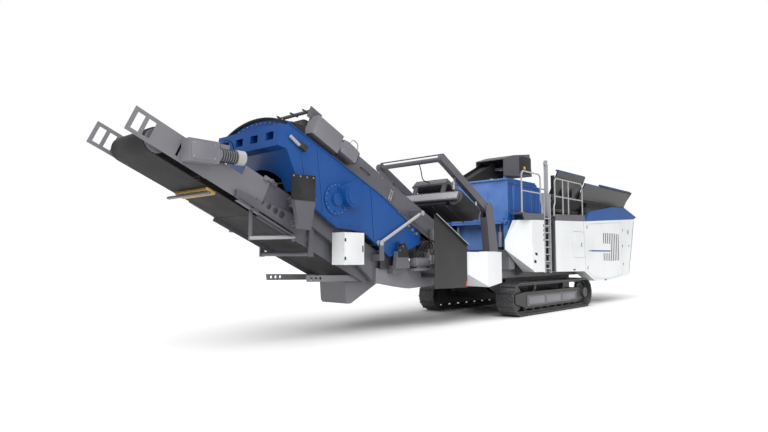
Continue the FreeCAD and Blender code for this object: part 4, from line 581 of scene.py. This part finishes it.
def dress_walkway():
    """Grating, post feet and toe board bolts, and the lamp lenses on the mast."""
    parts = []
    for index in range(38):
        x = 0.70 + index * 0.1
        if not LADDER_BAY[0] < x < LADDER_BAY[1]:
            parts.append(slab("grate", "light_grey_paint", (x, -1.465, 2.679),
                              (x + 0.02, -1.16, 2.686), 0.002))
    for x in POST_PLACES:
        parts.append(slab("post_foot", "light_grey_paint", (x - 0.05, -1.488, 2.6805),
                          (x + 0.05, -1.40, 2.692), 0.003))
    toe = [(x, -1.489, 2.4908 + (x - 0.68) * 0.0336 + 0.09)
           for x in (1.0, 1.4, 2.8, 3.2, 3.6, 4.0, 4.4)]
    parts.append(bolts("toe_bolt", "bare_steel", toe, NEAR, 0.012, 0.007))
    on("base", joined(parts, "walkway_details"))
    ends = [((x0, LAMP_Y, LAMP_Z), (x1, LAMP_Y, LAMP_Z))
            for x0, x1 in ((2.445, 2.452), (2.648, 2.655))]
    ends += [((LAMP_X, y0, LAMP_Z), (LAMP_X, y1, LAMP_Z))
             for y0, y1 in ((-1.2585, -1.25), (-1.15, -1.1415))]
    lenses = [bar("lens", "lamp_glass", start, end, 0.026, 24) for start, end in ends]
    on("base", joined(lenses, "mast_lamps"))


# Tracks

CRAWLER_FACE = -1.3915
HUB_X, HUB_Z = 4.5, 0.44


def dress_tracks():
    """Panels with bolts on the crawler frames, hub bolts and the plate behind the tracks."""
    y = CRAWLER_FACE
    parts = [slab("frame_panel", "grey_paint", (0.92, y - 0.012, 0.235), (4.02, y + 0.001, 0.52),
                  0.01)]
    for x0 in (1.02, 2.02, 3.02):
        parts.append(slab("panel_field", "mid_grey", (x0, y - 0.018, 0.28),
                          (x0 + 0.88, y - 0.010, 0.475), 0.005))
    places = [(x, y - 0.012, z) for x in (0.96, 1.96, 2.96, 3.97) for z in (0.26, 0.495)]
    parts.append(bolts("panel_bolts", "bare_steel", places, NEAR))
    places = [(x, -1.4615, z) for x, z in around(HUB_X, HUB_Z, 0.115, 10)]
    parts.append(bolts("hub_bolts", "bare_steel", places, NEAR, 0.013))
    parts.append(slab("belly_plate", "anthracite_paint", (0.75, -0.87, 0.48), (4.70, -0.85, 0.96)))
    piece = joined(parts, "track_frame_details")
    on("base", piece, mirror_copy(piece, "track_frame_details_far"))


# Magnet

MAGNET_X, MAGNET_Z, MAGNET_PITCH = -1.5, 2.73, 25.5


def magnet_at(along, above):
    """A place on the tilted magnet as (x, z)."""
    angle = math.radians(MAGNET_PITCH)
    return (MAGNET_X + along * math.cos(angle) + above * math.sin(angle),
            MAGNET_Z - along * math.sin(angle) + above * math.cos(angle))


def magnet_plate(name, slot, place, ys, half_tall):
    """A thin plate on the magnet's front side."""
    x, z = magnet_at(*place)
    return slab(name, slot, (x - 0.004, ys[0], z - half_tall), (x + 0.004, ys[1], z + half_tall),
                0.002, MAGNET_PITCH)


def dress_magnet():
    """Bolts on the side beam, a bright side band, rod turnbuckles, a cable and the post's bolts."""
    angle = math.radians(MAGNET_PITCH)
    places = []
    for above in (0.06, -0.06):
        x, z = magnet_at(-0.5135, above)
        places += [(x, -1.15 + 0.195 * index, z) for index in range(11)]
    parts = [magnet_plate("side_band", "light_grey_paint", (-0.509, 0.0), (-1.22, 0.80), 0.085),
             bolts("beam_bolts", "bare_steel", places, (-math.cos(angle), 0.0, math.sin(angle)),
                   0.012, 0.008)]
    for y in (-1.10, 0.79):
        for x, low, high in ((-1.94, 3.08, 3.26), (-1.02, 2.70, 2.86)):
            parts.append(bar("turnbuckle", "bare_steel", (x, y, low), (x, y, high), 0.036, 6))
    parts.append(magnet_plate("cover_lid", "mid_grey", (-0.52, 0.40), (-0.82, 0.14), 0.05))
    x, z = magnet_at(-0.52, 0.40)
    parts.append(hose("magnet_cable", "black_rubber",
                      [(x - 0.01, -0.30, z), (-2.15, -0.38, 3.35), (-2.28, -0.42, 3.55),
                       (-2.37, -0.45, 3.67)], 0.012))
    on("magnet", joined(parts, "magnet_details"))
    places = [(-0.42 + 0.06 * index, -1.1985, 1.40) for index in range(5)]
    on("base", bolts("magnet_post_bolts", "bare_steel", places, NEAR))


# Discharge conveyor

MAIN_PITCH, FINES_PITCH = 25.5, 24.5
main_at = slope(-4.0, 3.26, MAIN_PITCH)


def main_ramp(name, slot, alongs, aboves, ys, edge=0.004):
    """A plate or box that lies along the discharge conveyor."""
    return ramp(name, slot, main_at, MAIN_PITCH, alongs, aboves, ys, edge)


def head_drive():
    """Head guard face, motor with its fan cover, terminal box and hose."""
    pieces = [
        main_ramp("guard_face", "mid_grey", (1.403, 2.087), (-0.447, -0.063), (-0.957, -0.949),
                  0.003),
        main_ramp("motor_box", "mid_grey", (0.90, 1.36), (-0.37, -0.09), (-0.955, -0.72), 0.03),
    ]
    corners = [main_at(a, b) for a in (1.46, 2.03) for b in (-0.40, -0.11)]
    pieces.append(bolts("guard_bolts", "bare_steel", [(x, -0.957, z) for x, z in corners], NEAR,
                        0.013, 0.008))
    pieces.append(main_ramp("terminal_box", "grey_paint", (1.02, 1.26), (-0.19, -0.06),
                            (-0.92, -0.76), 0.012))
    x, z = main_at(1.14, -0.06)
    pieces.append(hose("terminal_hose", "light_grey_paint",
                       [(x, -0.84, z), (x + 0.10, -0.86, z + 0.10), (x + 0.24, -0.85, z + 0.02),
                        (x + 0.22, -0.80, z - 0.16)], 0.011))
    pieces.append(main_ramp("fan_cover", "anthracite_paint", (0.88, 0.905), (-0.35, -0.11),
                            (-0.94, -0.735), 0.02))
    return pieces


def head_scraper():
    """Scraper arms, beam and its end plates at the head."""
    pieces = []
    (x0, z0), (x1, z1) = main_at(2.10, 0.02), main_at(2.28, -0.02)
    for y in (-0.66, -0.30, 0.10, 0.50):
        pieces.append(bar("scraper_arm", "grey_paint", (x0, y, z0), (x1, y, z1), 0.018, 14))
    x, z = main_at(2.13, 0.05)
    pieces.append(bar("scraper_beam", "grey_paint", (x, -0.70, z), (x, 0.66, z), 0.034, 20, 0.004))
    for y in (-0.74, 0.70):
        pieces.append(main_ramp("beam_plate", "grey_paint", (1.90, 2.20), (-0.12, 0.11),
                                (y - 0.012, y)))
    return pieces


def conveyor_side():
    """Handle, bolts, panels and latches on the near side plate."""
    x, z = main_at(0.42, -0.20)
    pieces = [hose("side_handle", "anthracite_paint",
                   [(x - 0.12, -0.692, z + 0.06), (x - 0.11, -0.73, z + 0.05),
                    (x + 0.11, -0.73, z - 0.06), (x + 0.12, -0.692, z - 0.06)], 0.01)]
    places = [main_at(-4.9 + 0.4 * index, above)
              for index in range(15) for above in (-0.045, -0.435)]
    pieces.append(bolts("side_bolts", "bare_steel", [(x, -0.6905, z) for x, z in places], NEAR,
                        0.011, 0.008))
    for alongs in ((-0.35, 1.25), (-2.2, -0.6)):
        pieces.append(main_ramp("side_panel", "grey_paint", alongs, (-0.40, -0.08),
                                (-0.697, -0.689), 0.003))
    for along in (-0.47, -0.53):
        pieces.append(main_ramp("latch", "bare_steel", (along, along + 0.03), (-0.36, -0.12),
                                (-0.705, -0.689), 0.003))
    return pieces


STRUT = ((-4.33, 1.80), (-3.01, 2.47))
STRUT_Y = -1.0


def strut():
    """The round strut below the conveyor with an eye at each end."""
    (x0, z0), (x1, z1) = STRUT
    pieces = [bar("strut_tube", "light_grey_paint", (x0, STRUT_Y, z0), (x1, STRUT_Y, z1), 0.034,
                  24, 0.004)]
    for x, z in STRUT:
        pieces.append(bar("strut_eye", "light_grey_paint", (x, -1.05, z), (x, -0.955, z), 0.055,
                          28, 0.004))
    return pieces


def dress_discharge():
    """Head drive, scraper, side plate and strut of the discharge conveyor."""
    on("base", joined(head_drive() + head_scraper() + conveyor_side() + strut(),
                      "discharge_details"))


# Screen

SCREEN_FACE = -0.9505
SCREEN_TOP = ((-6.62, 3.86), (-4.25, 2.79), (-3.0, 2.04))
SCREEN_LOW = ((-5.96, 2.35), (-5.48, 2.06), (-4.78, 2.005), (-4.0, 1.52), (-3.5, 1.64))
CREASES = (((-6.36, 3.66), (-6.20, 2.66)), ((-5.95, 3.48), (-5.80, 2.34)),
           ((-4.55, 2.86), (-4.45, 1.90)))
BOLT_STEP = 0.22
FLANGE_X, FLANGE_Z = -5.49, 2.59


def strip(name, start, end, half_tall, lift, depth, edge):
    """A narrow blue strip on the screen's side plate between two points."""
    (x0, z0), (x1, z1) = start, end
    run = math.hypot(x1 - x0, z1 - z0)
    pitch = math.degrees(math.atan2(z0 - z1, x1 - x0))
    x, z = (x0 + x1) / 2, (z0 + z1) / 2 + lift
    return slab(name, "blue_paint", (x - run / 2, SCREEN_FACE - depth, z - half_tall),
                (x + run / 2, SCREEN_FACE + 0.001, z + half_tall), edge, pitch)


def edge_flanges():
    """Flanges and bolts along the side plate's upper and lower edges."""
    pieces = []
    for line, drop in ((SCREEN_TOP, -0.05), (SCREEN_LOW, 0.05)):
        for start, end in zip(line, line[1:]):
            pieces.append(strip("edge_flange", start, end, 0.007, drop * 0.4, 0.022, 0.003))
            count = int(math.dist(start, end) / BOLT_STEP)
            for index in range(count):
                share = (index + 0.5) / count
                x = start[0] + (end[0] - start[0]) * share
                z = start[1] + (end[1] - start[1]) * share + drop * 1.8
                pieces.append(bolts("plate_bolt", "blue_paint", [(x, SCREEN_FACE, z)], NEAR,
                                    0.012, 0.009))
    return pieces


def screen_fittings():
    """Exciter flange studs, support plate, damper and the studs low on the side."""
    places = [(x, SCREEN_FACE - 0.0265, z) for x, z in around(FLANGE_X, FLANGE_Z, 0.27, 18)]
    pieces = [bolts("flange_studs", "bare_steel", places, NEAR, 0.009, 0.007),
              slab("support_plate", "anthracite_paint", (-4.22, -0.90, 1.28), (-3.72, -0.88, 1.74)),
              bar("damper", "light_grey_paint", (-6.60, -0.99, 3.60), (-6.40, -0.99, 3.47), 0.03,
                  20, 0.003),
              slab("damper_seat", "anthracite_paint", (-6.40, -1.03, 3.40), (-6.24, -0.95, 3.50),
                   0.008, 25)]
    for x, z in ((-3.42, 2.18), (-3.30, 2.10), (-3.16, 2.02)):
        pieces.append(bar("stud", "brass", (x, -0.95, z), (x, -1.0, z), 0.026, 16, 0.002))
    return pieces


def cap_bolts():
    """Bolts round the arched cap's front edge and along its top."""
    arc = []
    for index in range(13):
        y = -0.84 + 0.14 * index
        arc.append((y, 4.01 - 0.19 * (y / 0.93) ** 2))
    crest = [(-6.6005, y, z - 0.05) for y, z in arc]
    top = [(-6.45, y, z + 0.041) for y, z in arc[::2]]
    return [bolts("crest_bolts", "bare_steel", crest, FRONT),
            bolts("cap_bolts", "bare_steel", top, UP, 0.016)]


def dress_screen():
    """Side plates on both sides, the cap's bolts and the spring covers' bolts."""
    cap = cap_bolts()
    creases = [strip("crease", start, end, 0.012, 0.0, 0.012, 0.004) for start, end in CREASES]
    side = joined(edge_flanges() + creases + screen_fittings(), "screen_side_details")
    on("base", side, mirror_copy(side, "screen_side_details_far"), joined(cap, "screen_cap_bolts"))
    front = [(-6.60 + 0.145 * index, -1.0925, 2.905) for index in range(4)]
    rear = [(-3.84, -1.0925, 1.66), (-3.74, -1.0925, 1.74)]
    covers = joined([bolts("cover_bolts", "bare_steel", front, NEAR, 0.016),
                     bolts("cover_bolts", "bare_steel", rear, NEAR)], "spring_cover_bolts")
    on("base", covers, mirror_copy(covers, "spring_cover_bolts_far"))


# Fines conveyor

MOTOR_Y, MOTOR_Z = -0.8103, 3.12


def fines_head_trim():
    """Scraper, motor fins, fan cowl, guard panel and hose of the folding head."""
    pieces = [slab("scraper", "brass", (-7.95, -0.60, 2.545), (-7.77, 0.40, 2.60), 0.01,
                   FINES_PITCH),
              slab("scraper_bar", "grey_paint", (-7.95, -0.68, 2.52), (-7.90, 0.68, 2.56), 0.008,
                   FINES_PITCH)]
    for index in range(9):
        x = -7.84 + 0.042 * index
        pieces.append(bar("fin", "anthracite_paint", (x - 0.008, MOTOR_Y, MOTOR_Z),
                          (x + 0.008, MOTOR_Y, MOTOR_Z), 0.115, 28))
    pieces.append(bar("fan_cowl", "light_grey_paint", (-7.56, MOTOR_Y, MOTOR_Z),
                      (-7.42, MOTOR_Y, MOTOR_Z), 0.122, 32, 0.006))
    pieces.append(slab("guard_panel", "mid_grey", (-8.39, -0.937, 2.99), (-7.96, -0.929, 3.27)))
    places = [(x, -0.937, z) for x in (-8.35, -8.0) for z in (3.03, 3.23)]
    pieces.append(bolts("guard_bolts", "bare_steel", places, NEAR, 0.012, 0.008))
    pieces.append(hose("motor_hose", "black_rubber",
                       [(-7.78, -0.80, 3.29), (-7.74, -0.80, 3.38), (-7.60, -0.76, 3.36),
                        (-7.52, -0.70, 3.28)], 0.01))
    return pieces


def dress_fines():
    """The head's trim, and the double flange, hub bolts and hanging cylinder below."""
    on("fines_head", joined(fines_head_trim(), "fines_head_details"))
    parts = []
    for drop in (0.0, 0.055):
        parts.append(slab("flange", "grey_paint", (-7.55, -0.80, 2.216 - drop),
                          (-6.25, -0.70, 2.226 - drop), 0.003, 25.4))
    places = [(x, -0.7605, z) for x, z in around(-6.33, 2.12, 0.05, 6)]
    parts.append(bolts("hub_bolts", "bare_steel", places, NEAR, 0.010, 0.008))
    parts.append(bar("hanging_cylinder", "light_grey_paint", (-7.20, -0.70, 1.84),
                     (-6.26, -0.70, 1.88), 0.032, 20, 0.004))
    for x, top in ((-7.18, 2.33), (-6.28, 1.95)):
        parts.append(slab("hanger", "grey_paint", (x - 0.03, -0.715, 1.80),
                          (x + 0.03, -0.685, top)))
    on("base", joined(parts, "fines_details"))


# Cabinet, drive unit, side guard, tank and return hood

CABINET_FACE = -1.139
UNIT_Y, UNIT_Z = -0.96, 1.405
VALVES = (-2.72, -2.60, -2.48)


def dress_cabinet():
    """Raised panel, latch and hinge marks of the control box's door."""
    y = CABINET_FACE
    door = [slab("door_panel", "white_paint", (-5.42, -1.1445, 1.42), (-4.96, y, 1.94), 0.002),
            slab("cabinet_latch", "anthracite_paint", (-4.985, -1.15, 1.62), (-4.955, y, 1.74))]
    for z in (1.50, 1.84):
        door.append(slab("hinge_mark", "anthracite_paint", (-5.445, -1.148, z - 0.03),
                         (-5.405, y, z + 0.03)))
    on("cabinet_door", joined(door, "cabinet_details"))


def dress_drive_unit():
    """Fins, hoses and valve blocks of the drive unit."""
    unit = []
    for index in range(11):
        x = -3.18 + 0.035 * index
        unit.append(bar("fin", "mid_grey", (x - 0.007, UNIT_Y, UNIT_Z), (x + 0.007, UNIT_Y, UNIT_Z),
                        0.109, 28))
    for index, x in enumerate((-2.70, -2.59, -2.48)):
        unit.append(hose("valve_hose", "black_rubber",
                         [(x, -0.96, 1.69), (x, -0.97, 1.80),
                          (x - 0.16, -0.98, 1.84 + 0.02 * index), (x - 0.42, -0.98, 1.62),
                          (x - 0.50, -0.97, 1.49)], 0.014))
    for x in VALVES:
        unit.append(slab("valve_block", "light_grey_paint", (x - 0.045, -1.062, 1.36),
                         (x + 0.045, -1.035, 1.56), 0.006))
    places = [(x, -1.062, z) for x in VALVES for z in (1.39, 1.53)]
    unit.append(bolts("valve_bolts", "bare_steel", places, NEAR, 0.012, 0.008))
    on("base", joined(unit, "drive_unit_details"))


def dress_side_guard():
    """Bolts and lip along the guard's sloping edge, and a red mark."""
    places = [(-2.93 + 0.155 * index, -1.37, 2.412 - 0.0819 * index) for index in range(8)]
    guard = [bolts("guard_bolts", "light_grey_paint", places, (0.47, 0.0, 0.88), 0.016),
             slab("guard_lip", "light_grey_paint", (-3.07, -1.402, 2.112), (-1.68, -1.393, 2.130),
                  0.003, 27.85),
             slab("red_mark", "red_paint", (-1.83, -1.346, 0.86), (-1.77, -1.339, 0.97), 0.002)]
    on("base", joined(guard, "side_guard_details"))


def dress_tank():
    """Filler cap and step plate on the tank cover."""
    tank = [bar("tank_cap", "anthracite_paint", (-0.90, -1.22, 1.64), (-0.90, -1.22, 1.685), 0.07,
                28, 0.004),
            slab("tank_step", "white_paint", (-1.20, -1.44, 1.638), (-0.60, -1.30, 1.652))]
    on("base", joined(tank, "tank_details"))


def dress_return_hood():
    """Black near panel with bolts and a yellow lamp."""
    places = [(x, 0.444, z) for x in (4.08, 4.78) for z in (4.33, 4.81)]
    hood = [slab("hood_panel", "anthracite_paint", (4.03, 0.444, 4.28), (4.83, 0.4505, 4.86),
                 0.003),
            slab("hood_lamp", "yellow_paint", (4.30, 0.43, 4.42), (4.42, 0.446, 4.52), 0.01),
            bolts("hood_bolts", "bare_steel", places, NEAR)]
    on("return_conveyor", joined(hood, "return_hood_details"))


dress_housings()
dress_hopper()
dress_crusher()
dress_walkway()
dress_tracks()
dress_magnet()
dress_discharge()
dress_screen()
dress_fines()
dress_cabinet()
dress_drive_unit()
dress_side_guard()
dress_tank()
dress_return_hood()


# Stage, lights and camera

SENSOR_WIDTH = 36.0
LENS = 26.34
CAMERA_PLACE = (-12.58, -8.584, 1.538)
CAMERA_YAW = 42.197
CAMERA_RISE = 4.102
FLOOR_SIZE = 400.0
SKY_STRENGTH = 0.34

def make_stage():
    """A wide pale floor that keeps the shadow."""
    deselect()
    bpy.ops.mesh.primitive_plane_add(size=FLOOR_SIZE, location=(0.0, 0.0, -0.002))
    floor = bpy.context.object
    floor.name = "studio_floor"
    bpy.ops.object.transform_apply(location=True, rotation=False, scale=False)
    finish = Finish("studio_floor", specular=0.2)
    grain = finish.noise(0.5, 2.0)
    floor.data.materials.append(
        finish.finish(finish.blended(rgba(0.88, 0.88, 0.88), rgba(0.9, 0.9, 0.9), grain), 0.9))


def make_world():
    """Even studio sky that camera rays and rays through glass see as white."""
    world = bpy.data.worlds.new("studio_sky")
    bpy.context.scene.world = world
    world.use_nodes = True
    tree = world.node_tree
    light = tree.nodes["Background"]
    light.inputs["Color"].default_value = (1.0, 1.0, 1.0, 1.0)
    light.inputs["Strength"].default_value = SKY_STRENGTH
    shown = tree.nodes.new("ShaderNodeBackground")
    shown.inputs["Color"].default_value = (1.0, 1.0, 1.0, 1.0)
    shown.inputs["Strength"].default_value = 1.0
    path = tree.nodes.new("ShaderNodeLightPath")
    total = tree.nodes.new("ShaderNodeMath")
    total.operation = "ADD"
    total.use_clamp = True
    tree.links.new(path.outputs["Is Camera Ray"], total.inputs[0])
    tree.links.new(path.outputs["Is Transmission Ray"], total.inputs[1])
    mix = tree.nodes.new("ShaderNodeMixShader")
    tree.links.new(total.outputs[0], mix.inputs["Fac"])
    tree.links.new(light.outputs[0], mix.inputs[1])
    tree.links.new(shown.outputs[0], mix.inputs[2])
    tree.links.new(mix.outputs[0], tree.nodes["World Output"].inputs["Surface"])


def make_sun(name, towards, strength, angle):
    """A wide soft light that shines along a direction."""
    lamp = bpy.data.lights.new(name, "SUN")
    lamp.energy = strength
    lamp.angle = math.radians(angle)
    holder = bpy.data.objects.new(name, lamp)
    bpy.context.scene.collection.objects.link(holder)
    holder.rotation_mode = "QUATERNION"
    holder.rotation_quaternion = Vector(towards).to_track_quat("-Z", "Y")


def make_camera():
    """The photograph's viewpoint."""
    camera = bpy.data.objects.new("camera", bpy.data.cameras.new("camera"))
    bpy.context.scene.collection.objects.link(camera)
    bpy.context.scene.camera = camera
    camera.data.sensor_width = SENSOR_WIDTH
    camera.data.lens = LENS
    camera.location = CAMERA_PLACE
    yaw, rise = math.radians(CAMERA_YAW), math.radians(CAMERA_RISE)
    ahead = Vector((math.cos(yaw) * math.cos(rise), math.sin(yaw) * math.cos(rise),
                    math.sin(rise)))
    camera.rotation_mode = "QUATERNION"
    camera.rotation_quaternion = ahead.to_track_quat("-Z", "Y")
    camera.data.clip_end = 500.0


make_stage()
make_world()
make_sun("key_light", (0.8, 0.35, -0.95), 2.2, 50.0)
make_sun("top_light", (0.05, 0.1, -1.0), 1.3, 90.0)
make_sun("near_light", (0.1, 1.0, -0.25), 1.15, 60.0)
make_camera()
bpy.context.scene.view_settings.view_transform = "Standard"
